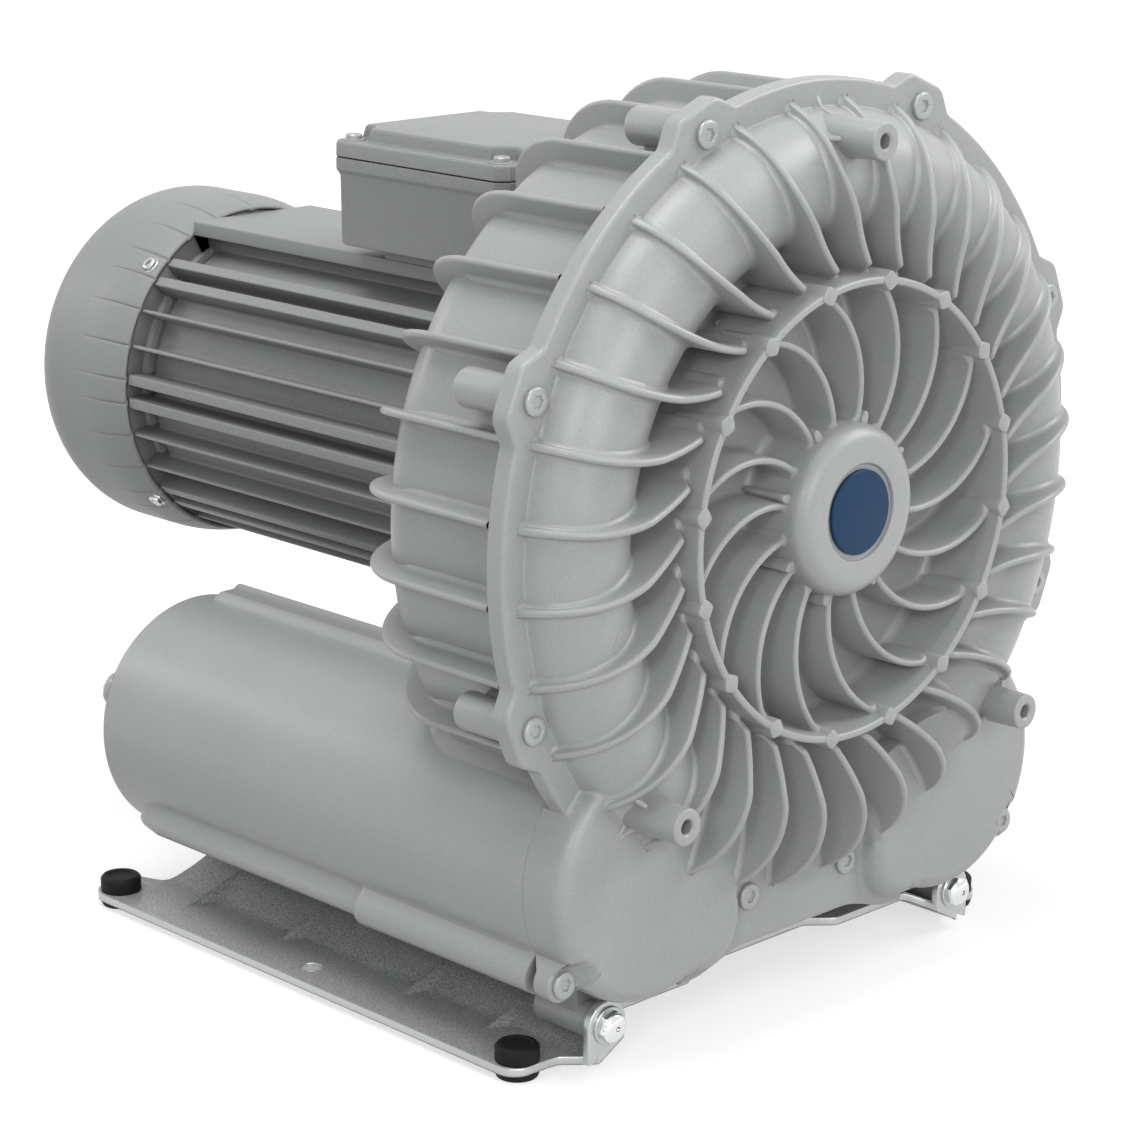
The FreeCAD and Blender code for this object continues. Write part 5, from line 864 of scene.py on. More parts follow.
def rearHousing():
    h = housing
    parts = [housingShell()] + housingFins()
    for angle in lugAngles:
        x, z = fromPolar(cover["boltCircle"], angle)
        parts.append(postPart(x, z, h["bossRadius"], -cover["flangeBack"], h["bossLength"], 2.6, 48))
        web = [(*swung(u, v, math.radians(angle)), 0.5)
               for u, v in ((166.0, -5.2), (186.0, -5.2), (186.0, 5.2), (166.0, 5.2))]
        parts.append(slab(roundedLoop(web, 2), -cover["flangeBack"], 22.0, 3.0))
    for side in (-1, 1):
        parts.append(drumShape(side))
        x = h["baseBossX"] * side
        parts.append(postPart(x, h["baseBossZ"], h["bossRadius"], -7.4, 28.0, 1.6))
        web = [(x + u, z, 1) for u, z in ((-7.4, h["baseBossZ"]), (7.4, h["baseBossZ"]), (7.4, -196.0),
                                          (-7.4, -196.0))]
        parts.append(slab(roundedLoop(web, 2), 0.6, 26.0, 2.0))
        foot = roundedLine([(0, -221.5), (10.0, -221.5, 1.2), (10.0, -196.0), (0, -196.0)], 4)
        parts.append(uprightPart(foot, 40, (91.0 * side, 268.0)))
    neck = roundedLoop([(-83, -209.6, 6), (-34, -201.5, 8), (34, -201.5, 8), (83, -209.6, 6),
                        (108, -106, 4), (-108, -106, 4)], 5)
    parts.append(slab(neck, 0.4, 71.4, 5.0))
    piece = makePiece("rearHousing", parts, "greyCasting", "rear_housing", 50.0)
    print("housing made:", len(piece.data.polygons), "faces")


rearHousing()


# Port flanges at the rear of the drums

port = {
    "start": 303.5, "plate": 6.0, "plateRadius": 49.0, "lobe": 8.6, "lobeHalf": 8.4, "screwCircle": 51.3,
    "collar": 37.3, "bore": 28.3, "end": 327.5,
}
portAngles = (67.0, 157.0, 247.0, 337.0)


def portFlange(name, side):
    # A turned flange with four screw lobes on its plate: r = R + lobe exp(-(arc / half)^4).
    # The bore carries fine rounds of thread.
    p = port
    line = roundedLine([
        (p["bore"], p["start"]), (p["plateRadius"], p["start"]),
        (p["plateRadius"], p["start"] + p["plate"], 1.2), (p["collar"], p["start"] + p["plate"], 2.0),
        (p["collar"], p["end"], 1.4), (p["bore"] + 2.0, p["end"], 0.4), (p["bore"] + 0.3, p["end"] - 1.8),
    ], 5)
    thread = np.arange(p["end"] - 2.2, p["start"] + 2.0, -0.55)
    inside = np.stack([p["bore"] + 0.45 * (np.arange(len(thread)) % 4 > 1), thread], 1)
    line = np.concatenate([line, inside])
    angle = np.radians(np.arange(0, 360, 2.0))
    gap = np.min([np.abs(wrapped(angle - math.radians(a))) for a in portAngles], axis=0)
    lobe = p["lobe"] * np.exp(-(gap * p["plateRadius"] / p["lobeHalf"]) ** 4)
    share = np.clip((line[:, 0] - p["collar"]) / (p["plateRadius"] - p["collar"]), 0, 1) ** 3
    r = line[:, 0][:, None] + share[:, None] * lobe[None, :]
    x = cover["drumX"] * side + r * np.cos(angle)
    z = cover["drumZ"] + r * np.sin(angle)
    points = np.stack([x, line[:, 1][:, None] + 0 * r, z], -1)
    makePiece(name + "PortFlange", [gridPart(points, closeRows=True, closeCols=True)], "greyCasting",
              name + "_port_flange", 40.0)


portFlange("inlet", -1)
portFlange("outlet", 1)


# Screws with a six-lobed socket

def socketScrew(x, z, face, radius, tall, depth=1.9, way=1.0):
    # A pan head towards -y, or +y where way is -1: dome over a short rim; the socket's wall
    # is a six-lobed line r = r0 (1 + 0.13 cos 6a).
    a = np.linspace(0, 2 * np.pi, 48, endpoint=False)
    lobe = radius * 0.43 * (1 + 0.13 * np.cos(6 * a))
    rings, heights = [], []
    for scale, down in ((0.0, depth), (0.92, depth), (1.0, 0.25), (1.1, 0.0)):
        rings.append(lobe * scale)
        heights.append(down - tall + (0.0 if scale == 0 else 0.15))
    for t in np.linspace(0.35, 1.0, 6):
        rings.append(np.full(48, max(radius * math.sin(t * np.pi / 2) ** 0.7, radius * 0.6)))
        heights.append(-tall * (0.42 + 0.58 * math.cos(t * np.pi / 2) ** 0.45))
    for scale, height in ((1.0, -tall * 0.12), (0.97, 0.05), (0.0, 0.05)):
        rings.append(np.full(48, radius * scale))
        heights.append(height)
    r = np.stack(rings)
    y = face + way * np.array(heights)[:, None] + 0 * r
    points = np.stack([x + r * np.cos(a), y, z + r * np.sin(a)], -1)
    return gridPart(points, closeCols=True, flip=way > 0)


def coverScrews():
    spots = [fromPolar(cover["boltCircle"], angle) for angle in lugAngles] + list(lowScrews)
    parts = [socketScrew(x, z, -cover["jointFlange"], 6.4, 2.7, 1.1) for x, z in spots]
    makePiece("coverScrews", parts, "paintedScrew", "cover_screws", 40.0)


def portScrews():
    parts = []
    face = port["start"] + port["plate"]
    for side in (-1, 1):
        for angle in portAngles:
            x, z = fromPolar(port["screwCircle"], angle)
            x, z = x + cover["drumX"] * side, z + cover["drumZ"]
            parts.append(socketScrew(x, z, face, 4.6, 3.0, 1.7, -1.0))
    makePiece("portScrews", parts, "zincSteel", "port_screws", 40.0)


coverScrews()
portScrews()


# Motor

motor = {
    "front": 112.0, "rear": 376.7, "bodyRear": 367.4, "barrel": 75.0, "neck": 71.5, "finTip": 85.2,
    "railHalf": 3.2, "thinHalf": 1.15, "padTop": 83.8,
    "padHalf": 30.5, "rim": 377.0, "rimRadius": 86.9, "cowlRadius": 91.5, "cowlRear": 459.7,
    "cowlCorner": 56.0, "cowlWall": 1.8, "creaseDepth": 1.0, "creaseLength": 37.0, "screwY": 384.5,
}
railAngles = [a + s * 4.2 for a in (0, 45, 135, 180, 225, 270, 315) for s in (-1, 1)]
thinAngles = [16, 29, 151, 164, 196, 209, 241, 254, 286, 299, 331, 344]


def barrelOutline():
    # Outline of the barrel: the circle, a fin or rail at each angle, the flat pad on top.
    m = motor
    corners = []

    def arcTo(start, stop):
        count = max(int((stop - start) / 2.6), 1)
        for a in np.radians(np.linspace(start, stop, count + 1)[1:-1]):
            corners.append((m["barrel"] * math.cos(a), m["barrel"] * math.sin(a), 0.0))

    entries = [(a % 360, m["railHalf"], 0.7, False) for a in railAngles]
    entries += [(a, m["thinHalf"], 0.9, False) for a in thinAngles]
    entries = sorted(entries + [(90.0, m["padHalf"], 0.0, True)])
    last = -360.0 + entries[-1][0] + math.degrees(math.asin(entries[-1][1] / m["barrel"]))
    for angle, half, edge, isPad in entries:
        reach = math.degrees(math.asin(half / m["barrel"]))
        arcTo(last, angle - reach)
        if isPad:
            right = [(m["padHalf"], 68.5, 1.2), (31.0, 75.8, 1.4), (39.9, 76.4, 0.6),
                     (39.9, m["padTop"], 0.8)]
            corners.extend(right + [(-x, z, e) for x, z, e in reversed(right)])
        else:
            base = math.sqrt(m["barrel"] ** 2 - half ** 2)
            for u, v, e in ((base, -half, 1.5), (m["finTip"], -half * 0.86, edge),
                            (m["finTip"], half * 0.86, edge), (base, half, 1.5)):
                corners.append((*swung(u, v, math.radians(angle)), e))
        last = angle + reach
    return roundedLoop(corners, 4)


def motorBarrel():
    # The outline carried along y; past the body's rear edge only fins and rails go on,
    # round a narrower neck.
    m = motor
    outline = barrelOutline()
    r = np.hypot(outline[:, 0], outline[:, 1])
    inner = np.clip((78.0 - r) / 2.0, 0, 1)
    rows = [(m["front"], 0.0, 0.0), (m["front"], 1.0, 0.0)]
    for y in np.linspace(m["front"], m["bodyRear"] - 1.0, 8)[1:]:
        rows.append((y, 1.0, 0.0))
    rows += [(m["bodyRear"] - 0.4, 1.0, 0.25), (m["bodyRear"], 1.0, 0.9), (m["bodyRear"] + 0.1, 1.0, 3.5),
             (m["rear"] - 0.5, 1.0, 3.5), (m["rear"], 0.995, 3.5), (m["rear"], 0.0, 3.5)]
    rings = []
    for y, scale, down in rows:
        k = scale * (1 - down * inner / np.maximum(r, 1))
        rings.append(np.stack([outline[:, 0] * k, 0 * r + y, outline[:, 1] * k], -1))
    neck = turnedPart(roundedLine([
        (0, 366.0), (69.6, 366.0), (69.6, 370.6, 0.4), (m["neck"], 371.4, 0.4), (m["neck"], 377.8, 0.6),
        (84.8, 378.4, 0.6), (84.8, 394.0), (0, 394.0),
    ], 3), 144)
    makePiece("motorBarrel", [gridPart(np.stack(rings), closeCols=True), neck], "motorPaint",
              "stator_frame", 32.0)


def fanCowl():
    # Outer skin of the cowl on a grid of angle and profile, with the ring slots left out
    # of its rear; Solidify gives the wall. Creases run back from the rim: the radius drops
    # by depth exp(-(arc / width)^2), fading with the distance from the rim.
    m = motor
    t = np.linspace(0, 1, 14)
    swellEnd = m["cowlRear"] - m["cowlCorner"]
    swell = np.stack([m["cowlRadius"] - (m["cowlRadius"] - m["rimRadius"]) * (1 - t) ** 2,
                      m["rim"] + (swellEnd - m["rim"]) * t], 1)
    line = np.concatenate([swell, roundedLine([
        (m["cowlRadius"], swellEnd + 0.01), (m["cowlRadius"], m["cowlRear"], m["cowlCorner"] - 0.1),
        (35.0, m["cowlRear"])], 26)[1:]])
    radii = np.array([34.0, 31.5, 29.0, 26.0, 22.0, 17.0, 9.0, 0.0])
    rear = np.stack([radii, np.full(len(radii), m["cowlRear"])], 1)
    line = np.concatenate([densify(line, 3.0), rear])
    creases = np.array(sorted([a % 360 for a in railAngles] + thinAngles + [61, 74, 90, 106, 119]), float)
    nearby = (creases[:, None] + np.array([-1.0, -0.5, -0.22, 0, 0.22, 0.5, 1.0])[None, :]).ravel() % 360
    slots = np.concatenate([np.arange(0, 360, 60) + 5.0, np.arange(0, 360, 60) + 55.0])
    angle = np.unique(np.round(np.concatenate([np.arange(0, 360, 2.5), nearby, slots]), 3))
    r = line[:, 0][:, None] + 0 * angle
    y = line[:, 1][:, None] + 0 * angle
    gap = np.min(np.abs((angle[None, :] - creases[:, None] + 180) % 360 - 180), axis=0)
    fade = np.clip(1 - (y - m["rim"]) / m["creaseLength"], 0, 1) ** 0.8
    width = 0.55 * (0.35 + 0.65 * fade)
    drop = m["creaseDepth"] * fade * np.exp(-(np.radians(gap)[None, :] * r / width) ** 2)
    r = np.where(y < m["rim"] + m["creaseLength"] + 1, r - drop, r)
    a = np.radians(angle)
    points = np.stack([r * np.cos(a), y, r * np.sin(a)], -1)
    rows, cols = points.shape[:2]
    quads = gridQuads(rows, cols, closeCols=True, flip=True).reshape(rows - 1, cols, 4)
    keep = np.ones((rows - 1, cols), bool)
    middle = (angle + 0.5 * ((np.roll(angle, -1) - angle) % 360)) % 60
    slotted = (middle > 5) & (middle < 55)
    for low, high in ((17.0, 22.0), (29.0, 34.0), (41.0, 46.5), (53.5, 59.0)):
        between = (line[:-1, 0] <= high + 0.01) & (line[1:, 0] >= low - 0.01)
        keep[np.ix_(between, slotted)] = False
    part = (points.reshape(-1, 3), quads[keep])
    piece = makePiece("fanCowl", [part], "motorSheet", "fan_cowl", 40.0)
    wall = piece.modifiers.new("wall", "SOLIDIFY")
    wall.thickness = m["cowlWall"] * mm
    wall.offset = -1.0


def aimed(part, place, direction):
    # A part made about the origin and facing -y, turned to face a direction at a place.
    points, quads = part
    turn = np.array(Vector((0, -1, 0)).rotation_difference(Vector(direction)).to_matrix())
    return points @ turn.T + np.asarray(place, float), quads


def cowlScrews():
    parts = []
    for k in range(4):
        c, s = fromPolar(1.0, 45.0 + 90.0 * k)
        rim = turnedPart(roundedLine([(0, -0.9), (5.0, -0.9, 0.5), (5.0, 1.5), (0, 1.5)], 3), 32)
        for part, reach in ((socketScrew(0, 0, 0, 3.9, 2.7, 1.6), 88.2), (rim, 87.9)):
            parts.append(aimed(part, (c * reach, motor["screwY"], s * reach), (c, 0, s)))
    makePiece("cowlScrews", parts, "zincSteel", "cowl_screws", 40.0)


motorBarrel()
fanCowl()
cowlScrews()
print("motor made")


# Terminal box

box = {
    "half": 57.0, "front": 126.0, "rear": 248.0, "chamfer": 5.5,
    "neckLow": 83.8, "floor": 90.3, "lip": 127.2, "seam": 133.2, "lid": 133.8, "lidTop": 141.3,
    "crown": 147.8, "crownIn": 9.0, "scallop": 9.5, "screwX": 48.5, "screwInset": 9.0,
}


def boxOutline(inset):
    b = box
    corner = 1.2
    x = b["half"] - inset
    f, r = b["front"] + inset, b["rear"] - inset
    c = b["chamfer"] - inset * 0.41
    return roundedLoop([
        (-x + c, f, corner), (x - c, f, corner), (x, f + c, corner), (x, r - c, corner),
        (x - c, r, corner), (-x + c, r, corner), (-x, r - c, corner), (-x, f + c, corner),
    ], 4)


def stacked(outlines, heights):
    # Closed outlines (x, y) of one length at given heights, closed at both ends.
    middle = outlines[0].mean(0)
    cap = np.tile(middle, (len(outlines[0]), 1))
    rings = [cap] + list(outlines) + [cap]
    z = [heights[0]] + list(heights) + [heights[-1]]
    points = np.stack([np.column_stack([ring, np.full(len(ring), h)]) for ring, h in zip(rings, z)])
    return gridPart(points, closeCols=True)


def crownOutline(inset):
    # The raised middle of the lid: straight sides and a hollow round each screw.
    b = box
    x = b["half"] - b["crownIn"] - inset
    f, r = b["front"] + 5.0 + inset, b["rear"] - 5.0 - inset
    hollow = b["scallop"] + inset
    corners = []
    for sx, sy in ((1, -1), (1, 1), (-1, 1), (-1, -1)):
        cx = b["screwX"] * sx
        cy = (b["front"] + b["screwInset"]) if sy < 0 else (b["rear"] - b["screwInset"])
        edgeX = x * sx
        edgeY = f if sy < 0 else r
        dx = x - b["screwX"]
        dy = abs(edgeY - cy)
        onSide = (edgeX, cy - sy * math.sqrt(max(hollow ** 2 - dx ** 2, 0.1)))
        onEnd = (cx - sx * math.sqrt(max(hollow ** 2 - dy ** 2, 0.1)), edgeY)
        a0 = math.atan2(onSide[1] - cy, onSide[0] - cx)
        a1 = math.atan2(onEnd[1] - cy, onEnd[0] - cx)
        start, stop = (a1, a0) if (sx > 0) == (sy < 0) else (a0, a1)
        sweep = wrapped(stop - start)
        for k, t in enumerate(np.linspace(0, 1, 9)):
            a = start + sweep * t
            size = 1.3 if k in (0, 8) else 0.0
            corners.append((cx + hollow * math.cos(a), cy + hollow * math.sin(a), size))
    return roundedLoop(corners, 4)


def terminalBox():
    b = box
    neck = roundedLoop([(-40, 140, 4), (40, 140, 4), (40, 229, 4), (-40, 229, 4)], 4)
    body = stacked(
        [boxOutline(v) for v in (3.6, 2.6, 2.2, 1.7, 0.9, 0.35, 0.1, 0.0, 0.0, 0.35)],
        (b["floor"], b["floor"] + 0.5, b["floor"] + 1.7, b["lip"] - 2.6, b["lip"] - 1.0, b["lip"] - 0.2,
         b["lip"] + 0.3, b["lip"] + 0.9, b["seam"] - 0.35, b["seam"]))
    makePiece("boxBody", [slab(neck, b["neckLow"], b["floor"] + 0.4, 0, True), body], "motorPaint",
              "terminal_box_base", 32.0)
    gasket = stacked([boxOutline(0.9), boxOutline(0.9)], (b["seam"] - 0.2, b["lid"] + 0.2))
    makePiece("lidGasket", [gasket], "blackRubber", "lid_gasket")
    top, crown = b["lidTop"], b["crown"]
    rim = stacked([boxOutline(v) for v in (0.35, 0.0, 0.15, 0.35, 0.75, 1.5)],
                  (b["lid"], b["lid"] + 0.35, top - 1.4, top - 0.6, top - 0.12, top))
    raised = stacked([crownOutline(v) for v in (-0.9, -0.25, 0.0, 0.7, 0.95, 1.5, 2.4)],
                     (top - 0.2, top + 0.25, top + 0.9, crown - 1.8, crown - 0.9, crown - 0.25, crown))
    makePiece("boxLid", [rim, raised], "motorPaint", "terminal_box_lid", 32.0)
    parts = []
    for sx in (-1, 1):
        for y in (b["front"] + b["screwInset"], b["rear"] - b["screwInset"]):
            head = roundedLine([(0, 2.0), (1.9, 2.0), (2.0, 3.0, 0.2), (3.5, 3.0, 0.5), (4.0, 2.4, 0.3),
                                (4.0, -0.2), (0, -0.2)], 4)
            points, quads = uprightPart(head + np.array([0, top]), 40, (b["screwX"] * sx, y))
            parts.append((points, quads[:, ::-1]))
            ring = roundedLine([(4.2, -0.2), (5.6, -0.2), (5.9, 0.5, 0.3), (4.2, 0.7)], 2)
            parts.append(uprightPart(ring + np.array([0, top]), 40, (b["screwX"] * sx, y)))
    makePiece("lidScrews", parts, "paintedScrew", "lid_screws", 40.0)


terminalBox()
print("terminal box made")


# Base

base = {
    "ground": -243.4, "low": -240.0, "thick": 4.0, "rise": 14.5, "outer": 129.0, "inner": 102.0,
    "half": 164.5, "rear": 316.0, "middleRear": 288.0, "footX": 153.0, "holeX": 150.3, "holeY": 159.0,
    "holeRadius": 5.5,
    "gussetsLow": (48.0, 104.0, 195.0, 262.0), "gussetsHigh": (60.0, 150.0, 241.0),
}


def plateHeight(x, y):
    # Underside of the bent sheet: flat ears, two slopes, a flat middle. Each bend is a
    # smooth larger or smaller of the two planes, and a gusset bridges it.
    b = base
    ax = np.abs(x)
    slope = b["rise"] / (b["outer"] - b["inner"])
    tilted = (b["outer"] - ax) * slope
    lower = smoothMax(tilted, 0 * tilted, 1.2)
    z = -smoothMax(-lower, -b["rise"] + 0 * tilted, 1.6)
    for y0 in b["gussetsLow"]:
        bridge = (b["outer"] + 13.0 - ax) * slope * 0.62 - np.abs(y - y0) * 0.9
        z = np.where(ax > b["inner"] + 6, smoothMax(z, bridge, 0.3), z)
    for y0 in b["gussetsHigh"]:
        bridge = b["rise"] - (ax - b["inner"] + 8.0) * slope * 0.55 + np.abs(y - y0) * 0.62
        z = np.where(ax < b["outer"] - 8, -smoothMax(-z, -bridge, 0.5), z)
    return b["low"] + z


def plateLoops():
    # Plan of the sheet with rounded corners, and its two fixing holes.
    b = base
    right = [(40.0, 15.0, 4), (52.0, 4.0, 6), (101.0, 4.0, 5), (109.0, -4.5, 4), (110.4, -11.2, 0.6),
             (126.4, -11.2, 0.6), (129.5, -5.0, 5), (137.5, 3.0, 8), (144.0, 4.0, 8), (b["half"], 4.0, 12.5),
             (b["half"], b["rear"], 12.0), (136.5, b["rear"], 9.0), (129.0, 296.0, 14.0),
             (116.0, 291.5, 8.0), (98.0, b["middleRear"], 10.0)]
    left = [(-x, y, e) for x, y, e in reversed(right)]
    outline = roundedLoop(right + left, 8)
    a = np.linspace(0, 2 * np.pi, 40, endpoint=False)
    ox, oy = b["holeRadius"] * np.cos(a), b["holeRadius"] * np.sin(a)
    holes = [np.stack([b["holeX"] * side + ox, b["holeY"] + oy], 1) for side in (-1, 1)]
    return outline, holes


def resample(loop, step):
    # Points at even steps along a closed line.
    closed = np.concatenate([loop, loop[:1]])
    lengths = np.concatenate([[0], np.cumsum(np.linalg.norm(np.diff(closed, axis=0), axis=1))])
    count = int(lengths[-1] / step)
    s = np.linspace(0, lengths[-1], count, endpoint=False)
    return np.stack([np.interp(s, lengths, closed[:, k]) for k in (0, 1)], 1)


def insideLoop(points, loop):
    # Counts the loop's edges that a ray from each point crosses.
    x, y = points[:, 0][:, None], points[:, 1][:, None]
    x0, y0 = loop[:, 0][None, :], loop[:, 1][None, :]
    x1, y1 = np.roll(x0, -1, 1), np.roll(y0, -1, 1)
    crosses = ((y0 > y) != (y1 > y)) & (x < (x1 - x0) * (y - y0) / (y1 - y0 + 1e-12) + x0)
    return crosses.sum(1) % 2 == 1


def basePlate():
    b = base
    outline, holes = plateLoops()
    outline = resample(outline, 1.6)
    loops = [outline] + holes
    bends = np.arange(96, 138, 1.5)
    xs = np.unique(np.concatenate([np.arange(-162, 163, 6.0), bends, -bends]))
    fine = (np.array(b["gussetsLow"] + b["gussetsHigh"])[:, None] + np.arange(-7, 7.1, 1.0)).ravel()
    ys = np.unique(np.round(np.concatenate([np.arange(-9.0, 316.0, 3.0), fine]), 2))
    gx, gy = np.meshgrid(xs, ys)
    grid = np.stack([gx.ravel(), gy.ravel()], 1)
    keep = insideLoop(grid, outline)
    for hole in holes:
        keep &= np.hypot(grid[:, 0] - hole[:, 0].mean(), grid[:, 1] - b["holeY"]) > b["holeRadius"] + 1.5
    nearEdge = np.min(np.linalg.norm(grid[:, None] - outline[None], axis=2), 1)
    grid = grid[keep & (nearEdge > 1.0)]
    points, edges = [], []
    for loop in loops:
        first = len(points)
        count = len(loop)
        points.extend(loop.tolist())
        edges.extend([(first + k, first + (k + 1) % count) for k in range(count)])
    points.extend(grid.tolist())
    result = delaunay_2d_cdt([Vector(p) for p in points], edges, [], 0, 1e-7)
    flat = np.array([list(v) for v in result[0]])
    triangles = np.array([list(f) for f in result[2] if len(f) == 3])
    middles = flat[triangles].mean(1)
    keep = insideLoop(middles, outline)
    for hole in holes:
        keep &= ~insideLoop(middles, hole)
    triangles = triangles[keep]
    a, c, d = (flat[triangles[:, k]] for k in range(3))
    wrong = (c[:, 0] - a[:, 0]) * (d[:, 1] - a[:, 1]) - (c[:, 1] - a[:, 1]) * (d[:, 0] - a[:, 0]) < 0
    triangles[wrong] = triangles[wrong][:, ::-1]
    z = plateHeight(flat[:, 0], flat[:, 1])
    under = np.column_stack([flat, z])
    over = np.column_stack([flat, z + b["thick"]])
    top = (over, triangles)
    bottom = (under, triangles[:, ::-1])
    makePiece("basePlate", [top, bottom], "darkSheet", "base_plate")
    rims = []
    for k, loop in enumerate(loops):
        area, out = outward(loop)
        out = out if k == 0 else -out
        z = plateHeight(loop[:, 0], loop[:, 1])
        rings = []
        for inset, up in ((0.0, b["thick"] + 0.02), (-0.3, b["thick"] - 0.25), (-0.42, b["thick"] - 0.8),
                          (-0.42, 0.8), (-0.3, 0.25), (0.0, -0.02)):
            rings.append(np.column_stack([loop - out * (inset + 0.42), z + up]))
        rims.append(gridPart(np.stack(rings), closeCols=True, flip=(area > 0) == (k == 0)))
    for side in (-1, 1):
        x, z = housing["baseBossX"] * side, housing["baseBossZ"]
        t = np.linspace(0, np.pi, 25)
        arc = [(x + 11.6 * math.cos(v), z + 11.6 * math.sin(v), 0.0) for v in t]
        left, right = (12.0, 1.5) if side > 0 else (1.5, 12.0)
        tab = arc + [(x - 11.6, b["low"] + left, 1.0), (x + 11.6, b["low"] + right, 1.0)]
        rims.append(slab(roundedLoop(tab, 3), -7.4, -11.4, 0.7, startEdge=0.7))
    makePiece("baseEdge", rims, "cutSteel", crisp=40.0)


def feet():
    line = roundedLine([(0, 0), (9.4, 0, 0.6), (10.2, 2.0, 0.8), (10.1, 3.4, 0.2), (6.0, 3.5), (6.0, 7.3),
                        (10.1, 7.4, 0.3), (10.2, 13.9, 1.0), (9.0, 15.4, 0.8), (7.2, 15.4, 0.5),
                        (6.6, 14.6, 0.4), (0, 14.4)], 4)
    line = line + np.array([0, base["ground"]])
    for end, y in (("Front", 14.0), ("Rear", 304.0)):
        for hand, side in (("Left", -1), ("Right", 1)):
            node = "foot_" + end.lower() + "_" + hand.lower()
            makePiece("foot" + end + hand, [uprightPart(line, 64, (base["footX"] * side, y))],
                      "blackRubber", node, 40.0)


def baseBolts():
    parts, washers = [], []
    for side, turnBy in ((-1, 12.0), (1, 40.0)):
        x, z = housing["baseBossX"] * side, housing["baseBossZ"]
        corners = [fromPolar(7.5, 60.0 * k + turnBy) for k in range(6)]
        hexagon = roundedLoop([(x + u, z + v, 0.25) for u, v in corners], 2)
        parts.append(slab(hexagon, -12.9, -16.2, 0.5))
        dome = [(0, -17.0), (1.7, -17.0), (1.9, -18.25, 0.1)]
        for t in np.linspace(0.18, 1, 9):
            dome.append((6.9 * t, -18.3 + 2.4 * (1 - math.sqrt(max(1 - t * t, 0)))))
        dome += [(6.9, -15.5), (0, -15.5)]
        parts.append(turnedPart(roundedLine(dome, 3), 64, (x, z), flip=True))
        ring = roundedLine([(0, -13.0), (8.6, -13.0, 0.3), (9.0, -12.6, 0.3), (9.0, -11.4), (0, -11.4)], 3)
        washers.append(turnedPart(ring, 64, (x, z), flip=True))
    makePiece("baseBolts", parts, "brightSteel", "base_bolts", 30.0)
    makePiece("baseWashers", washers, "zincSteel", "base_washers", 30.0)


basePlate()
feet()
baseBolts()
print("base made")


# Stage, lights and camera

lookAt = {
    "azimuth": -44.643, "elevation": 15.29, "roll": 0.399, "lens": 104.22,
    "place": (-1.08257, -1.15645, 0.60377),
}


def makeCamera():
    data = bpy.data.cameras.new("camera")
    camera = newObject("camera", data)
    a, e, roll = (math.radians(lookAt[k]) for k in ("azimuth", "elevation", "roll"))
    back = Vector((math.sin(a) * math.cos(e), -math.cos(a) * math.cos(e), math.sin(e)))
    right = Vector((0, 0, 1)).cross(back).normalized()
    up = back.cross(right)
    tilted = right * math.cos(roll) + up * math.sin(roll)
    rows = Matrix((tilted, back.cross(tilted), back)).transposed()
    camera.matrix_world = Matrix.Translation(Vector(lookAt["place"])) @ rows.to_4x4()
    data.sensor_width = 36.0
    data.lens = lookAt["lens"]
    data.clip_start, data.clip_end = 0.05, 60.0
    bpy.context.scene.camera = camera


def seenRays(tree):
    # 1 for a ray of the camera, of a reflection or of a transmission, 0 for all others.
    path = addNode(tree, "LightPath")
    first = addNode(tree, "Math", operation="MAXIMUM")
    second = addNode(tree, "Math", operation="MAXIMUM")
    tree.links.new(path.outputs["Is Camera Ray"], first.inputs[0])
    tree.links.new(path.outputs["Is Glossy Ray"], first.inputs[1])
    tree.links.new(first.outputs[0], second.inputs[0])
    tree.links.new(path.outputs["Is Transmission Ray"], second.inputs[1])
    return second.outputs[0]


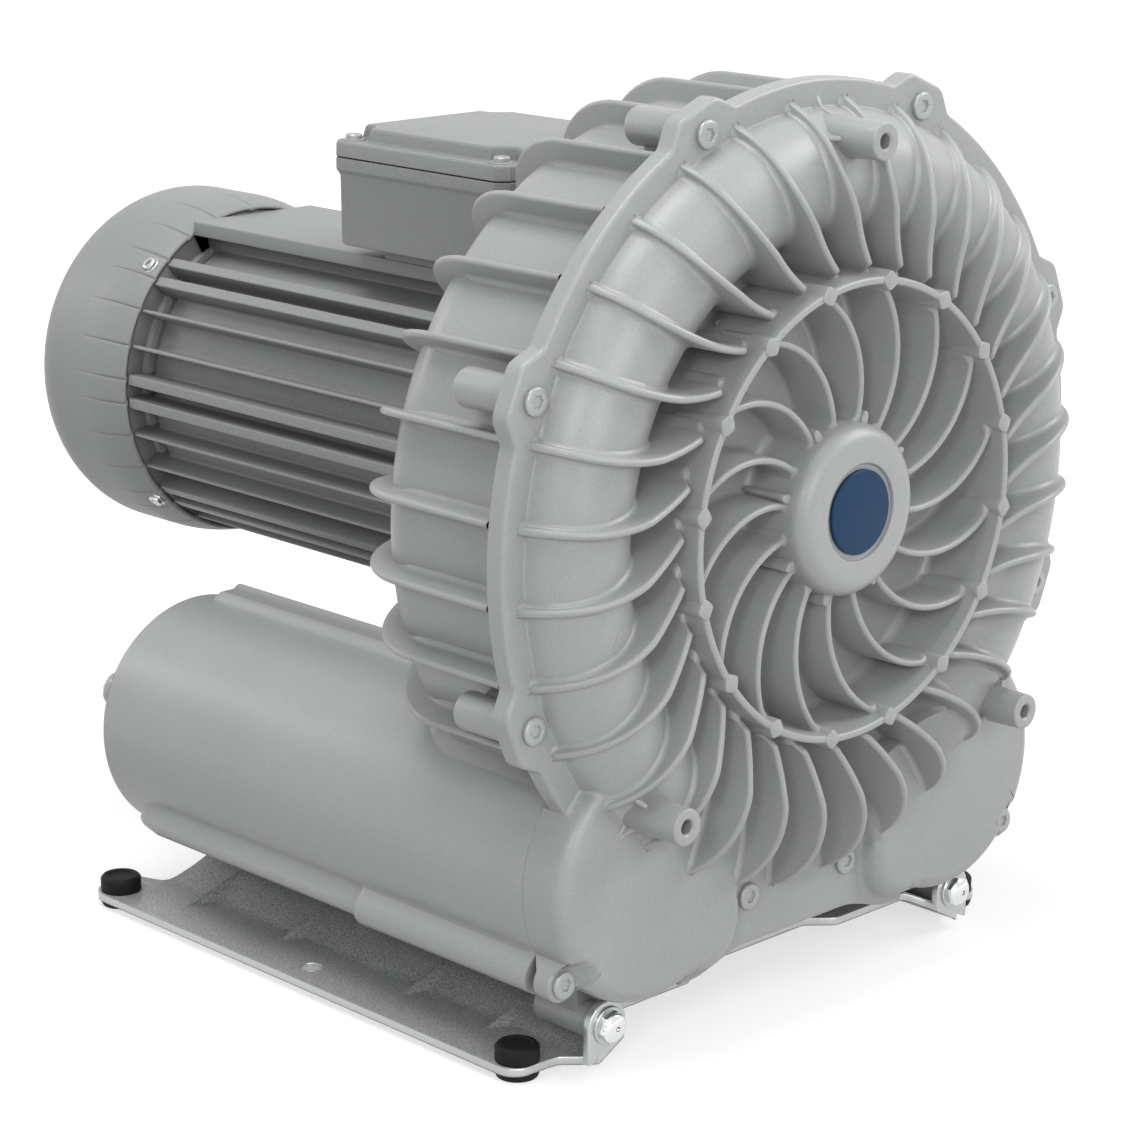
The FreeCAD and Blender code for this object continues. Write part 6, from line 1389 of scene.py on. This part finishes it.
def makeFloor():
    # Seen by the camera and in reflections the floor is nearly white of its own, and its
    # grey share keeps the shadow; all other light meets a plain pale floor.
    mesh = bpy.data.meshes.new("floor")
    work = bmesh.new()
    bmesh.ops.create_grid(work, x_segments=1, y_segments=1, size=12.0)
    work.to_mesh(mesh)
    work.free()
    floor = newObject("floor", mesh)
    floor.location = (0, 0, -0.0002)
    material = bpy.data.materials.new("paleFloor")
    material.use_nodes = True
    tree = material.node_tree
    tree.nodes.clear()
    link = tree.links.new
    out = addNode(tree, "OutputMaterial")
    plain = addNode(tree, "BsdfDiffuse", {"Color": (0.5, 0.5, 0.5, 1)})
    grey = addNode(tree, "BsdfDiffuse", {"Color": (0.42, 0.42, 0.42, 1)})
    glow = addNode(tree, "Emission")
    place = addNode(tree, "TexCoord")
    far = addNode(tree, "VectorMath", operation="LENGTH")
    bright = addNode(tree, "MapRange", {"From Min": 0.3, "From Max": 0.75, "To Min": 0.66, "To Max": 1.0},
                     interpolation_type="SMOOTHSTEP")
    both = addNode(tree, "AddShader")
    mix = addNode(tree, "MixShader")
    link(place.outputs["Object"], far.inputs[0])
    link(far.outputs["Value"], bright.inputs["Value"])
    link(bright.outputs["Result"], glow.inputs["Strength"])
    link(grey.outputs[0], both.inputs[0])
    link(glow.outputs[0], both.inputs[1])
    link(seenRays(tree), mix.inputs[0])
    link(plain.outputs[0], mix.inputs[1])
    link(both.outputs[0], mix.inputs[2])
    link(mix.outputs[0], out.inputs["Surface"])
    mesh.materials.append(material)


def makeWorld():
    world = bpy.data.worlds.new("studio")
    bpy.context.scene.world = world
    world.use_nodes = True
    tree = world.node_tree
    tree.nodes.clear()
    link = tree.links.new
    out = addNode(tree, "OutputWorld")
    shown = addNode(tree, "Background", {"Color": (1, 1, 1, 1), "Strength": 1.0})
    lit = addNode(tree, "Background", {"Color": (0.95, 0.98, 1.0, 1), "Strength": 0.3})
    mix = addNode(tree, "MixShader")
    link(seenRays(tree), mix.inputs[0])
    link(lit.outputs[0], mix.inputs[1])
    link(shown.outputs[0], mix.inputs[2])
    link(mix.outputs[0], out.inputs["Surface"])


lamps = {
    "key": {"place": (-0.62, -2.1, 0.9), "size": 1.1, "power": 16.0},
    "near": {"place": (-1.75, -1.3, 1.05), "size": 0.35, "power": 8.0},
    "top": {"place": (-0.5, 0.0, 2.2), "size": 1.2, "power": 28.0},
    "fill": {"place": (1.7, -1.3, 1.7), "size": 1.3, "power": 30.0},
    "rim": {"place": (-0.9, 2.1, 1.05), "size": 0.5, "power": 6.0},
}


def makeLamps():
    aim = Vector((0, -0.05, 0.2))
    for name, lamp in lamps.items():
        data = bpy.data.lights.new(name, "AREA")
        data.energy = lamp["power"]
        data.size = lamp["size"]
        light = newObject(name, data)
        light.location = lamp["place"]
        light.rotation_mode = "QUATERNION"
        light.rotation_quaternion = (aim - Vector(lamp["place"])).to_track_quat("-Z", "Y")


makeCamera()
makeFloor()
makeWorld()
makeLamps()
bpy.context.scene.view_settings.view_transform = "Standard"
print("camera, floor and lamps made")
